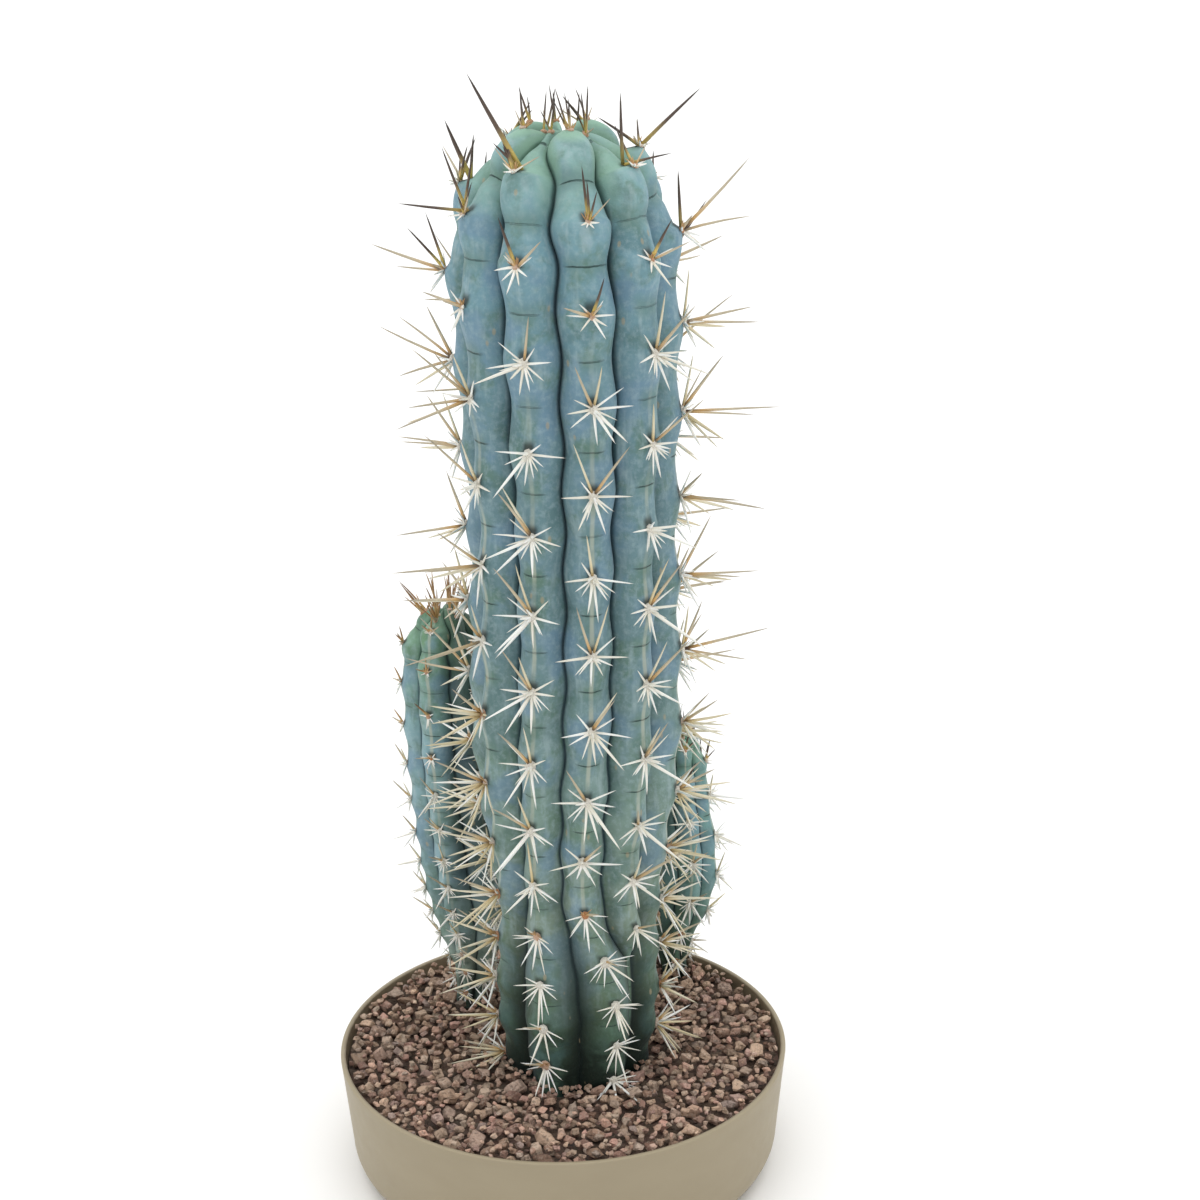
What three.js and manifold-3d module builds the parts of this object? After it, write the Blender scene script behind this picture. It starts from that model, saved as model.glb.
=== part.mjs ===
// Potted tall cactus: three ribbed columnar stems rooted in a shallow round bowl of potting soil that is
// topped with crushed lava. Millimetres, +Z up, origin at the centre of the bowl's flat base.
// Angles go round the stems in degrees from the front (-Y) towards the right (+X).

import * as THREE from 'three';
import { mergeVertices } from 'three/addons/utils/BufferGeometryUtils.js';
import Module from 'manifold-3d';

const wasm = await Module();
wasm.setup();

// ---------------------------------------------------------------------------------- driving dimensions

const TOUCH_GAP = 0.35; // play left between two pieces that touch
const SOCKET_GAP = 0.6; // the same round a stem, along the radius, so that it holds across slanting grooves

const BOWL = {
  height: 72,
  rimRadius: 130,
  heelRadius: 125, // outside of the wall where it meets the rounded bottom edge
  edgeRadius: 20, // rounding between wall and base
  edgeFacets: 5,
  wall: 3,
  floor: 4,
  lip: 0.8, // rounding of the rim's two edges
  segments: 60,
};

const SOIL_TOP = 56;
const GRAVEL_TOP = 64;

const STONES = {
  count: 24,
  meanRadius: 4.2,
  innerReach: 58, // the ring of the top dressing that the stones lie on
  outerReach: 117,
  spacing: 13,
  stemMargin: 9,
};

// The upright spines round the tips of the stems, which set the height of the plant. Those down the sides
// are left out, because a hull round their points would fill the air between them.
const CROWN_SPINE = {
  baseRadius: 1.1,
  embed: 2.5, // how deep a spine is rooted below the crest
  lift: 66, // tilt above the surface normal, in degrees
  sway: 28, // largest turn to one side, in degrees
};

const DOME_POWER = 2.4; // of the outline of a stem's rounded tip: 2 is a half ellipse, more is boxier

// The tall stem. Stations run from the buried foot to the shoulder, where the rounded tip starts.
const MAIN_STEM = {
  name: 'main_stem',
  depthY: -12.4,
  stations: [
    { z: 24, x: 8.6, radius: 31 },
    { z: 70, x: 8.8, radius: 40.5 },
    { z: 105, x: 9.2, radius: 45.5 },
    { z: 165, x: 10, radius: 46 },
    { z: 200, x: 10.5, radius: 50 },
    { z: 265, x: 11.2, radius: 57.5 },
    { z: 330, x: 11.5, radius: 57.3 },
    { z: 400, x: 11.2, radius: 56 },
    { z: 470, x: 10.2, radius: 58 },
    { z: 528, x: 9, radius: 59 },
  ],
  top: 604,
  facets: { perRibSide: 3, perRow: 2, cap: 7 },
  grooveDepth: 0.22, // of the crest radius
  ribWave: 0.08, // swelling of a rib at its areoles, of its width
  crestWave: 1.3,
  // Areole rows on the even ribs; the odd ribs carry theirs halfway between.
  rows: [62, 86, 110.5, 138, 168, 201, 236, 276, 318, 360, 403, 448, 495, 543, 588],
  // Ten ribs, of which four fade out towards the foot, so that six broad ones reach the gravel.
  ribHeights: [110, 150, 190, 300, 500, 545, 595],
  ribs: [
    { angles: [-24, -27, -28, -23, -20, -22, -32] },
    { angles: [28, 20, 4, 8, 13, 13, 13] },
    { angles: [56, 50, 37, 39, 48, 46, 54], fadesAt: 152 },
    { angles: [87, 85, 75, 76, 84, 84, 84] },
    { angles: [118, 118, 113, 113, 120, 120, 120], fadesAt: 140 },
    { angles: [149, 150, 151, 151, 156, 156, 156] },
    { angles: [180, 182, 189, 189, 192, 192, 192], fadesAt: 170 },
    { angles: [212, 216, 225, 226, 228, 228, 226] },
    { angles: [243, 250, 262, 263, 265, 265, 262], fadesAt: 158 },
    { angles: [275, 284, 297, 303, 304, 303, 298] },
  ],
  crownSpineLength: { low: 30, high: 46 },
};

/** Ribs spaced evenly round a stem, the first at the given angle. */
function evenRibs(count, first) {
  return Array.from({ length: count }, (_, i) => ({ angles: [first + (360 * i) / count] }));
}

// The slimmer stem behind on the left: it rises from a narrow neck and leans outwards.
const LEFT_SHOOT = {
  name: 'left_shoot',
  depthY: 60,
  stations: [
    { z: 30, x: -57, radius: 8 },
    { z: 68, x: -56.7, radius: 9 },
    { z: 90, x: -54.6, radius: 12 },
    { z: 110, x: -54, radius: 19 },
    { z: 150, x: -57.2, radius: 25 },
    { z: 220, x: -62.9, radius: 26 },
    { z: 282, x: -64.7, radius: 25.5 },
  ],
  top: 321,
  facets: { perRibSide: 2, perRow: 1, cap: 5 },
  grooveDepth: 0.26,
  ribWave: 0.05,
  crestWave: 0.7,
  rows: [75, 90, 105, 120, 136, 153, 171, 191, 213, 237, 263, 290, 311],
  ribHeights: [110],
  ribs: evenRibs(6, -21),
  crownSpineLength: { low: 14, high: 20 },
};

// The short stem behind on the right, close to the rim.
const RIGHT_SHOOT = {
  name: 'right_shoot',
  depthY: 91,
  stations: [
    { z: 30, x: 68, radius: 7.5 },
    { z: 68, x: 68, radius: 8 },
    { z: 88, x: 66.1, radius: 12.5 },
    { z: 108, x: 70.9, radius: 17 },
    { z: 132, x: 75, radius: 19.5 },
    { z: 165, x: 74.4, radius: 19 },
    { z: 188, x: 72.4, radius: 17.5 },
  ],
  top: 228,
  facets: { perRibSide: 2, perRow: 1, cap: 5 },
  grooveDepth: 0.26,
  ribWave: 0.05,
  crestWave: 0.6,
  rows: [78, 100, 123, 149, 176, 202, 220],
  ribHeights: [110],
  ribs: evenRibs(6, 10),
  crownSpineLength: { low: 10, high: 14 },
};

const STEMS = [MAIN_STEM, LEFT_SHOOT, RIGHT_SHOOT];

const PLASTIC = new THREE.MeshStandardMaterial({ color: '#b0a588', roughness: 0.5, metalness: 0 });
const SOIL = new THREE.MeshStandardMaterial({ color: '#3a2c22', roughness: 1, metalness: 0 });
const LAVA = new THREE.MeshStandardMaterial({ color: '#866a5f', roughness: 0.95, metalness: 0 });
const STEM_SKIN = new THREE.MeshStandardMaterial({ color: '#6b8d96', roughness: 0.6, metalness: 0 });

// ------------------------------------------------------------------------------------------- helpers

/** A repeatable value between 0 and 1 for a pair of counters. */
function noise(i, j) {
  const value = Math.sin(i * 12.9898 + j * 78.233) * 43758.5453;
  return value - Math.floor(value);
}

/** Reads the smooth curve through (heights, values) at one height; it is level beyond both ends. */
function smoothAt(heights, values, z) {
  const last = heights.length - 1;
  if (z <= heights[0]) return values[0];
  if (z >= heights[last]) return values[last];
  const i = heights.findIndex((height, index) => index < last && z < heights[index + 1]);
  const slope = (k) => {
    const level = k === 0 || k === last;
    return level ? 0 : (values[k + 1] - values[k - 1]) / (heights[k + 1] - heights[k - 1]);
  };
  const span = heights[i + 1] - heights[i];
  const t = (z - heights[i]) / span;
  const blend = t * t * (3 - 2 * t);
  const leave = t * (1 - t) ** 2 * span * slope(i);
  const arrive = t * t * (t - 1) * span * slope(i + 1);
  return THREE.MathUtils.lerp(values[i], values[i + 1], blend) + leave + arrive;
}

/** Turns a closed geometry into an exact solid. */
function solid(geometry) {
  const bare = geometry.clone();
  bare.deleteAttribute('normal');
  bare.deleteAttribute('uv');
  const merged = mergeVertices(bare, 1e-4);
  const triVerts = Uint32Array.from(merged.index.array);
  const vertProperties = Float32Array.from(merged.attributes.position.array);
  return new wasm.Manifold(new wasm.Mesh({ numProp: 3, vertProperties, triVerts }));
}

/** Makes the named mesh of a finished solid. */
function mesh(name, body, material) {
  const data = body.getMesh();
  const geometry = new THREE.BufferGeometry();
  geometry.setAttribute('position', new THREE.BufferAttribute(new Float32Array(data.vertProperties), 3));
  geometry.setIndex(new THREE.BufferAttribute(new Uint32Array(data.triVerts), 1));
  geometry.computeVertexNormals();
  const part = new THREE.Mesh(geometry, material);
  part.name = name;
  return part;
}

/** Revolves an outline of (radius, height) points round the Z axis. */
function revolve(outline, segments) {
  const points = outline.map(([radius, height]) => new THREE.Vector2(radius, height));
  return new THREE.LatheGeometry(points, segments).rotateX(Math.PI / 2);
}

/** Points of a quarter arc in an outline, from one angle to another in degrees. */
function arc(centreRadius, centreHeight, radius, from, to, steps) {
  return Array.from({ length: steps + 1 }, (_, i) => {
    const angle = THREE.MathUtils.degToRad(THREE.MathUtils.lerp(from, to, i / steps));
    return [centreRadius + radius * Math.cos(angle), centreHeight + radius * Math.sin(angle)];
  });
}

// ---------------------------------------------------------------------------------------------- bowl

/** Outer radius of the bowl's tapering wall at a height above the bottom edge. */
function wallRadius(z) {
  const rise = (z - BOWL.edgeRadius) / (BOWL.height - BOWL.edgeRadius);
  return THREE.MathUtils.lerp(BOWL.heelRadius, BOWL.rimRadius, rise);
}

/** The bowl's outline, up the outside, over the rim and down the inside to its floor. */
function makeBowl() {
  const innerEdge = BOWL.edgeRadius - BOWL.wall;
  const heel = BOWL.heelRadius - BOWL.edgeRadius;
  const rim = wallRadius(BOWL.height);
  const outline = [
    [0, 0],
    ...arc(heel, BOWL.edgeRadius, BOWL.edgeRadius, -90, 0, BOWL.edgeFacets),
    ...arc(rim - BOWL.lip, BOWL.height - BOWL.lip, BOWL.lip, 0, 90, 1),
    ...arc(rim - BOWL.wall + BOWL.lip, BOWL.height - BOWL.lip, BOWL.lip, 90, 180, 1),
    ...arc(heel, BOWL.floor + innerEdge, innerEdge, 0, -90, BOWL.edgeFacets),
    [0, BOWL.floor],
  ];
  return mesh('pot', solid(revolve(outline, BOWL.segments)), PLASTIC);
}

// --------------------------------------------------------------------------------------------- stems

/** The height where a stem's body ends and its rounded tip starts. */
function shoulder(stem) {
  return stem.stations[stem.stations.length - 1].z;
}

/** Centre and crest radius of a stem at one height. */
function section(stem, z) {
  const heights = stem.stations.map((station) => station.z);
  const x = smoothAt(heights, stem.stations.map((station) => station.x), z);
  const body = smoothAt(heights, stem.stations.map((station) => station.radius), z);
  const rise = Math.max(0, (z - shoulder(stem)) / (stem.top - shoulder(stem)));
  return { x, y: stem.depthY, radius: body * Math.sqrt(Math.max(0, 1 - rise ** DOME_POWER)) };
}

/** Counts areole rows: whole numbers fall on the even ribs' areoles. */
function rowAt(stem, z) {
  const above = stem.rows.findIndex((height) => height > z);
  const i = above < 0 ? stem.rows.length - 1 : Math.max(above, 1);
  const low = stem.rows[i - 1];
  return i - 1 + (z - low) / (stem.rows[i] - low);
}

/** Height of a row that may be a half number. */
function rowHeight(stem, row) {
  const i = Math.min(Math.floor(row), stem.rows.length - 2);
  return THREE.MathUtils.lerp(stem.rows[i], stem.rows[i + 1], row - i);
}

/** How far a rib has grown out of the stem at a height, from 0 to 1. */
function presence(rib, z) {
  if (rib.fadesAt === undefined) return 1;
  return THREE.MathUtils.smoothstep(z, rib.fadesAt - 14, rib.fadesAt + 14);
}

/** Swelling between -1 and 1 of a rib, largest at its areoles. */
function swell(stem, index, z) {
  return Math.cos(2 * Math.PI * (rowAt(stem, z) + 0.5 * (index % 2)));
}

/** Crest angle and share of the girth that a rib takes at a height. */
function ribAt(stem, index, z) {
  const count = stem.ribs.length;
  const wrapped = (index + count) % count;
  const rib = stem.ribs[wrapped];
  const turns = (index - wrapped) / count;
  const smallestShare = 0.12;
  const share = Math.max(smallestShare, presence(rib, z)) * (1 + stem.ribWave * swell(stem, wrapped, z));
  return { angle: smoothAt(stem.ribHeights, rib.angles, z) + 360 * turns, share, rib, index: wrapped };
}

/** Angle of the groove between two neighbouring ribs. */
function grooveAngle(one, other) {
  return (one.angle * other.share + other.angle * one.share) / (one.share + other.share);
}

/** A point of a stem's skin: side runs from -1 in the groove before the rib over 0 on its crest to 1. */
function skinPoint(stem, index, side, z, grow) {
  const rib = ribAt(stem, index, z);
  const { x, y, radius } = section(stem, z);
  const neighbour = ribAt(stem, side < 0 ? index - 1 : index + 1, z);
  const edge = grooveAngle(rib, neighbour);
  const angle = THREE.MathUtils.degToRad(THREE.MathUtils.lerp(rib.angle, edge, Math.abs(side)));
  const lobe = (1 - side * side) ** 0.65 * presence(rib.rib, z);
  const fullness = radius / section(stem, shoulder(stem)).radius;
  const bump = stem.crestWave * lobe * swell(stem, rib.index, z) * Math.min(1, fullness);
  const reach = radius * (1 - stem.grooveDepth * (1 - lobe)) + bump + grow;
  return new THREE.Vector3(x + reach * Math.sin(angle), y - reach * Math.cos(angle), z);
}

/** Heights of the rings of facets of a stem, its two ends left out. */
function ringHeights(stem) {
  const foot = stem.stations[0].z;
  const tip = stem.top - shoulder(stem);
  const { perRow, cap } = stem.facets;
  const rowCount = perRow * (stem.rows.length - 1) + 1;
  const rows = Array.from({ length: rowCount }, (_, i) => rowHeight(stem, i / perRow));
  const body = rows.filter((z) => z > foot + 5 && z < shoulder(stem) - 5);
  const buried = [foot, 0.5 * (foot + body[0])];
  const quarter = 0.5 * Math.PI;
  const dome = Array.from({ length: cap }, (_, i) => shoulder(stem) + tip * Math.sin((quarter * i) / cap));
  return [...buried, ...body, ...dome];
}

/** The bare stem as one closed solid, grown outwards by an even margin where a socket is cut with it. */
function stemBody(stem, grow = 0) {
  const rings = ringHeights(stem);
  const steps = 2 * stem.facets.perRibSide;
  const columns = stem.ribs.length * steps;
  const outline = [[0, rings[0]], ...rings.map((z) => [1, z]), [0, stem.top]];
  const geometry = revolve(outline, columns);
  const position = geometry.attributes.position;
  const last = outline.length - 1;
  for (let i = 0; i < position.count; i += 1) {
    const row = i % outline.length;
    const column = Math.floor(i / outline.length) % columns;
    const z = outline[row][1];
    const side = (column % steps) / stem.facets.perRibSide - 1;
    const onAxis = row === 0 || row === last;
    const point = onAxis ? section(stem, z) : skinPoint(stem, Math.floor(column / steps), side, z, grow);
    const lengthen = row === last ? grow : 0;
    position.setXYZ(i, point.x, point.y, row < 2 ? z - grow : z + lengthen);
  }
  return solid(geometry);
}

/** The areoles round the rounded tip of a stem: place on the crest, outward normal and a counter. */
function crownAreoles(stem) {
  const found = [];
  const tip = stem.top - shoulder(stem);
  const girth = section(stem, shoulder(stem)).radius;
  stem.ribs.forEach((rib, index) => {
    for (let row = 0.5 * (index % 2); row <= stem.rows.length - 0.7; row += 1) {
      const z = rowHeight(stem, row);
      if (z < shoulder(stem) || z > stem.top - 2) continue;
      const point = skinPoint(stem, index, 0, z, 0);
      const { x, y } = section(stem, z);
      const outward = new THREE.Vector3(point.x - x, point.y - y, 0).divideScalar(girth ** 2);
      const normal = outward.setZ((z - shoulder(stem)) / tip ** 2).normalize();
      found.push({ point, normal, key: index * 40 + row * 2 });
    }
  });
  return found;
}

/** The long central spine of one areole. */
function makeSpine(stem, areole) {
  const up = new THREE.Vector3(0, 0, 1);
  const across = new THREE.Vector3().crossVectors(up, areole.normal).normalize();
  const lift = THREE.MathUtils.degToRad(CROWN_SPINE.lift) * (1 - areole.normal.z);
  const sway = THREE.MathUtils.degToRad(CROWN_SPINE.sway) * (2 * noise(areole.key, 2) - 1);
  const direction = areole.normal.clone().applyAxisAngle(across, -lift).applyAxisAngle(up, sway);
  const { low, high } = stem.crownSpineLength;
  const length = THREE.MathUtils.lerp(low, high, noise(areole.key, 3)) + CROWN_SPINE.embed;
  const geometry = new THREE.ConeGeometry(CROWN_SPINE.baseRadius, length, 3);
  geometry.translate(0, 0.5 * length - CROWN_SPINE.embed, 0);
  geometry.applyQuaternion(new THREE.Quaternion().setFromUnitVectors(new THREE.Vector3(0, 1, 0), direction));
  geometry.translate(areole.point.x, areole.point.y, areole.point.z);
  return solid(geometry);
}

/** A stem with the spines of its crown, grown as one piece. */
function makeStem(stem) {
  const spines = crownAreoles(stem).map((areole) => makeSpine(stem, areole));
  return mesh(stem.name, wasm.Manifold.union([stemBody(stem), ...spines]), STEM_SKIN);
}

// ---------------------------------------------------------------------------------- soil and gravel

/** A round bed that fills the bowl between two heights, with a socket for each stem. */
function makeBed(name, bottom, top, material) {
  const innerEdge = BOWL.edgeRadius - BOWL.wall;
  const heel = BOWL.heelRadius - BOWL.edgeRadius;
  const inside = (z) => wallRadius(z) - BOWL.wall - TOUCH_GAP;
  const lowEdge = bottom < BOWL.edgeRadius
    ? arc(heel, BOWL.floor + innerEdge, innerEdge - TOUCH_GAP, -90, 0, BOWL.edgeFacets)
    : [[inside(bottom), bottom]];
  const outline = [[0, bottom], ...lowEdge, [inside(top), top], [0, top]];
  const sockets = wasm.Manifold.union(STEMS.map((stem) => stemBody(stem, SOCKET_GAP)));
  return mesh(name, solid(revolve(outline, BOWL.segments)).subtract(sockets), material);
}

/** Places for the loose stones, wound outwards in even steps and kept off the stems. */
function stonePlaces() {
  const goldenAngle = Math.PI * (3 - Math.sqrt(5));
  const places = [];
  for (let i = 0; places.length < STONES.count; i += 1) {
    const reach = THREE.MathUtils.lerp(STONES.innerReach, STONES.outerReach, noise(i, 11));
    const x = reach * Math.cos(i * goldenAngle);
    const y = reach * Math.sin(i * goldenAngle);
    const offStems = STEMS.every((stem) => {
      const foot = section(stem, GRAVEL_TOP);
      return Math.hypot(x - foot.x, y - foot.y) > foot.radius + STONES.stemMargin;
    });
    const offOthers = places.every((place) => Math.hypot(x - place.x, y - place.y) > STONES.spacing);
    if (offStems && offOthers) places.push({ x, y });
  }
  return places;
}

/** One loose angular stone lying on the gravel. */
function makeStone(place, number) {
  const geometry = new THREE.IcosahedronGeometry(STONES.meanRadius, 0);
  const merged = solid(geometry).getMesh();
  const vertices = Float32Array.from(merged.vertProperties);
  for (let i = 0; i < vertices.length; i += 3) {
    const chip = 0.8 + 0.4 * noise(number * 17 + i, 5);
    vertices[i] *= chip * (0.85 + 0.4 * noise(number, 6));
    vertices[i + 1] *= chip * (0.85 + 0.3 * noise(number, 7));
    vertices[i + 2] *= chip * 0.8;
  }
  const lowest = vertices.reduce((low, value, i) => (i % 3 === 2 ? Math.min(low, value) : low), 0);
  const chipped = new wasm.Mesh({ numProp: 3, vertProperties: vertices, triVerts: merged.triVerts });
  const stone = new wasm.Manifold(chipped);
  const body = stone.translate([place.x, place.y, GRAVEL_TOP + TOUCH_GAP - lowest]);
  return mesh(`gravel_stone_${String(number + 1).padStart(2, '0')}`, body, LAVA);
}

// ------------------------------------------------------------------------------------------ assembly

const cactus = new THREE.Group();
cactus.add(makeBowl());
cactus.add(makeBed('potting_soil', BOWL.floor + TOUCH_GAP, SOIL_TOP, SOIL));
cactus.add(makeBed('gravel_layer', SOIL_TOP + TOUCH_GAP, GRAVEL_TOP, LAVA));
STEMS.forEach((stem) => cactus.add(makeStem(stem)));
stonePlaces().forEach((place, number) => cactus.add(makeStone(place, number)));

export default cactus;
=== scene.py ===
"""Looks of the potted tall cactus: ribbed waxy stems, horny spines, lava grit and a moulded bowl.

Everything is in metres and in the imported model's frame: +Z up, origin at the centre of the bowl's base.
The plans of the stems are in millimetres, as they were drawn. Angles go round a stem in degrees from
the front (-Y) towards the right (+X).
"""

import logging
import math
import random
from collections import defaultdict
from dataclasses import dataclass
from enum import Enum
from functools import partial
from typing import Any, Callable, Sequence

import bmesh
import bpy
import numpy as np
from mathutils import Matrix, Quaternion, Vector, noise as solid_noise


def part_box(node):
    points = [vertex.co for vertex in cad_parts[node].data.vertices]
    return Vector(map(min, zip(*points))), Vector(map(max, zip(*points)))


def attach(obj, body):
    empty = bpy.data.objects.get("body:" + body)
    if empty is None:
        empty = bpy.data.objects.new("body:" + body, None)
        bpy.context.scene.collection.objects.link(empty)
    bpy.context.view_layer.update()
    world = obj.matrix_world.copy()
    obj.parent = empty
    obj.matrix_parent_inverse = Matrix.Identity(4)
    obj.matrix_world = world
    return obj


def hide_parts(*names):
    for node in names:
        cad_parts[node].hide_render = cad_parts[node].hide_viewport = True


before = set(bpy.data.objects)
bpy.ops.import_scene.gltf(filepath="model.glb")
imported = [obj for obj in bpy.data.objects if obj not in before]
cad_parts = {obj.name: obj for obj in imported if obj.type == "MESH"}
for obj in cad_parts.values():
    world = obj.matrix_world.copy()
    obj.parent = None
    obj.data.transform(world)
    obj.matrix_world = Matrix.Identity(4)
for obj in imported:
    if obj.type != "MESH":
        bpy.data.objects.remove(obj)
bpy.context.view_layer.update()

LOG = logging.getLogger("potted_cactus")
MM = 0.001
FULL_TURN = 2.0 * math.pi
BODY = "root"

# Settings and inputs that many nodes share.
SMOOTH = {"interpolation_type": "SMOOTHSTEP"}
TIMES = {"operation": "MULTIPLY"}
TIMES_PLUS = {"operation": "MULTIPLY_ADD"}
DARKEN = {"blend_type": "MULTIPLY"}
NOISE = ("Vector", "Scale", "Detail", "Roughness")
RANGE = ("Value", "From Min", "From Max", "To Min", "To Max")

Socket = bpy.types.NodeSocket
AddNode = Callable[..., Socket]  # add_node for one tree


# ---------------------------------------- helpers


def linear(hex_code: str) -> tuple[float, float, float, float]:
    """Turns an sRGB hex colour linear.

    Args:
        hex_code: colour such as "#8fb0b2".

    Returns:
        Red, green, blue and an alpha of one.
    """
    values = [int(hex_code[i : i + 2], 16) / 255.0 for i in (1, 3, 5)]
    channels = [v / 12.92 if v <= 0.04045 else ((v + 0.055) / 1.055) ** 2.4 for v in values]
    return (channels[0], channels[1], channels[2], 1.0)


def add_node(
    tree: bpy.types.NodeTree,
    kind: str,
    settings: dict[str, Any] | None = None,
    inputs: dict[str | int, Any] | None = None,
    stops: Sequence[tuple[float, str]] = (),
) -> bpy.types.NodeSocket:
    """Adds one node with its settings and links.

    Args:
        tree: node tree that the node goes into.
        kind: node type without its ShaderNode prefix.
        settings: properties of the node.
        inputs: a value or the socket to link, for each input.
        stops: places and hex colours of a colour ramp.

    Returns:
        The node's first output, or its first input where it has no output.
    """
    node = tree.nodes.new(f"ShaderNode{kind}")
    for name, value in (settings or {}).items():
        setattr(node, name, value)
    for socket, value in (inputs or {}).items():
        if isinstance(value, bpy.types.NodeSocket):
            tree.links.new(value, node.inputs[socket])
        else:
            node.inputs[socket].default_value = value
    for number, (place, colour) in enumerate(stops):
        elements = node.color_ramp.elements
        element = elements[number] if number < 2 else elements.new(place)
        element.position = place
        element.color = linear(colour)
    return node.outputs[0] if node.outputs else node.inputs[0]


def per_metre(size: float) -> float:
    """Scale of a pattern whose features are this many millimetres apart."""
    return 1.0 / (size * MM)


def metres(lengths: Sequence[float]) -> tuple[float, ...]:
    """Turns millimetres into metres."""
    return tuple(length * MM for length in lengths)


def publish(
    name: str,
    mesh: bpy.types.Mesh,
    material: bpy.types.Material,
    replaces: Sequence[str] = (),
) -> None:
    """Puts a finished mesh into the scene as one piece of the object.

    Args:
        name: piece name.
        mesh: finished mesh, in place.
        material: its finish.
        replaces: CAD nodes that the piece stands for.
    """
    piece = bpy.data.objects.new(name, mesh)
    mesh.materials.append(material)
    bpy.context.scene.collection.objects.link(piece)
    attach(piece, BODY)
    if replaces:
        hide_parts(*replaces)
    LOG.info("%s: %d vertices, %d faces", name, len(mesh.vertices), len(mesh.polygons))


def finish_mesh(name: str, bm: bmesh.types.BMesh, smooth: bool = True) -> bpy.types.Mesh:
    """Turns a bmesh into a mesh with outward faces.

    Args:
        name: name of the mesh.
        bm: source, which is freed.
        smooth: whether its faces are shaded smooth.

    Returns:
        The new mesh.
    """
    bmesh.ops.recalc_face_normals(bm, faces=bm.faces)
    for face in bm.faces:
        face.smooth = smooth
    mesh = bpy.data.meshes.new(name)
    bm.to_mesh(mesh)
    bm.free()
    return mesh


def smooth_step(value: np.ndarray, low: float, high: float) -> np.ndarray:
    """Rises smoothly from 0 at low to 1 at high."""
    t = np.clip((value - low) / (high - low), 0.0, 1.0)
    return t * t * (3.0 - 2.0 * t)


def smooth_at(heights: Sequence[float], values: Sequence[float], z: np.ndarray) -> np.ndarray:
    """Reads the smooth curve through (heights, values), which is level beyond both ends.

    Args:
        heights: rising heights of the stations.
        values: value at each station.
        z: heights to read at.

    Returns:
        One value for each height.
    """
    if len(heights) == 1:
        return np.full(np.shape(z), float(values[0]))
    h = np.asarray(heights, float)
    v = np.asarray(values, float)
    slope = np.zeros(len(h))
    slope[1:-1] = (v[2:] - v[:-2]) / (h[2:] - h[:-2])
    clipped = np.clip(z, h[0], h[-1])
    i = np.clip(np.searchsorted(h, clipped, side="right") - 1, 0, len(h) - 2)
    span = h[i + 1] - h[i]
    t = (clipped - h[i]) / span
    blend = t * t * (3.0 - 2.0 * t)
    leave = t * (1.0 - t) ** 2 * span * slope[i]
    arrive = t * t * (t - 1.0) * span * slope[i + 1]
    return v[i] + (v[i + 1] - v[i]) * blend + leave + arrive


# ---------------------------------------- plans of stems


@dataclass(frozen=True)
class Rib:
    """One rib: the angle of its crest at the plan's heights, and where it fades out downwards."""

    angles: tuple[float, ...]
    fades_at: float | None = None
    lowered: float = 0.0  # how far its areoles sit below those of its kind, in rows


@dataclass(frozen=True)
class StemPlan:
    """Sizes of one stem in millimetres, as in the CAD model, with the finer relief of its tubercles."""

    name: str
    depth_y: float
    stations: tuple[tuple[float, float, float], ...]  # height, place across, crest radius
    top: float
    groove_depth: float
    rib_wave: float
    crest_wave: float
    rows: tuple[float, ...]
    rib_heights: tuple[float, ...]
    ribs: tuple[Rib, ...]
    chins: tuple[tuple[float, float], ...]  # height and how far a tubercle juts out below its areole
    keels: tuple[tuple[float, float, float], ...]  # height, and the two powers of a rib's profile
    calm_range: tuple[float, float] | None = None  # below it the ribs' width hardly swings

    @property
    def shoulder(self) -> float:
        """Height where the body ends and the rounded tip starts."""
        return self.stations[-1][0]

    @property
    def foot(self) -> float:
        """Height of the buried end."""
        return self.stations[0][0]

    @property
    def row_offsets(self) -> np.ndarray:
        """What each rib adds to the row count, so that its areoles fall on whole numbers."""
        return np.array([0.5 * (index % 2) + rib.lowered for index, rib in enumerate(self.ribs)])


def even_ribs(count: int, first: float) -> tuple[Rib, ...]:
    """Ribs spaced evenly round a stem, the first at the given angle."""
    return tuple(Rib((first + 360.0 * i / count,)) for i in range(count))


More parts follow.
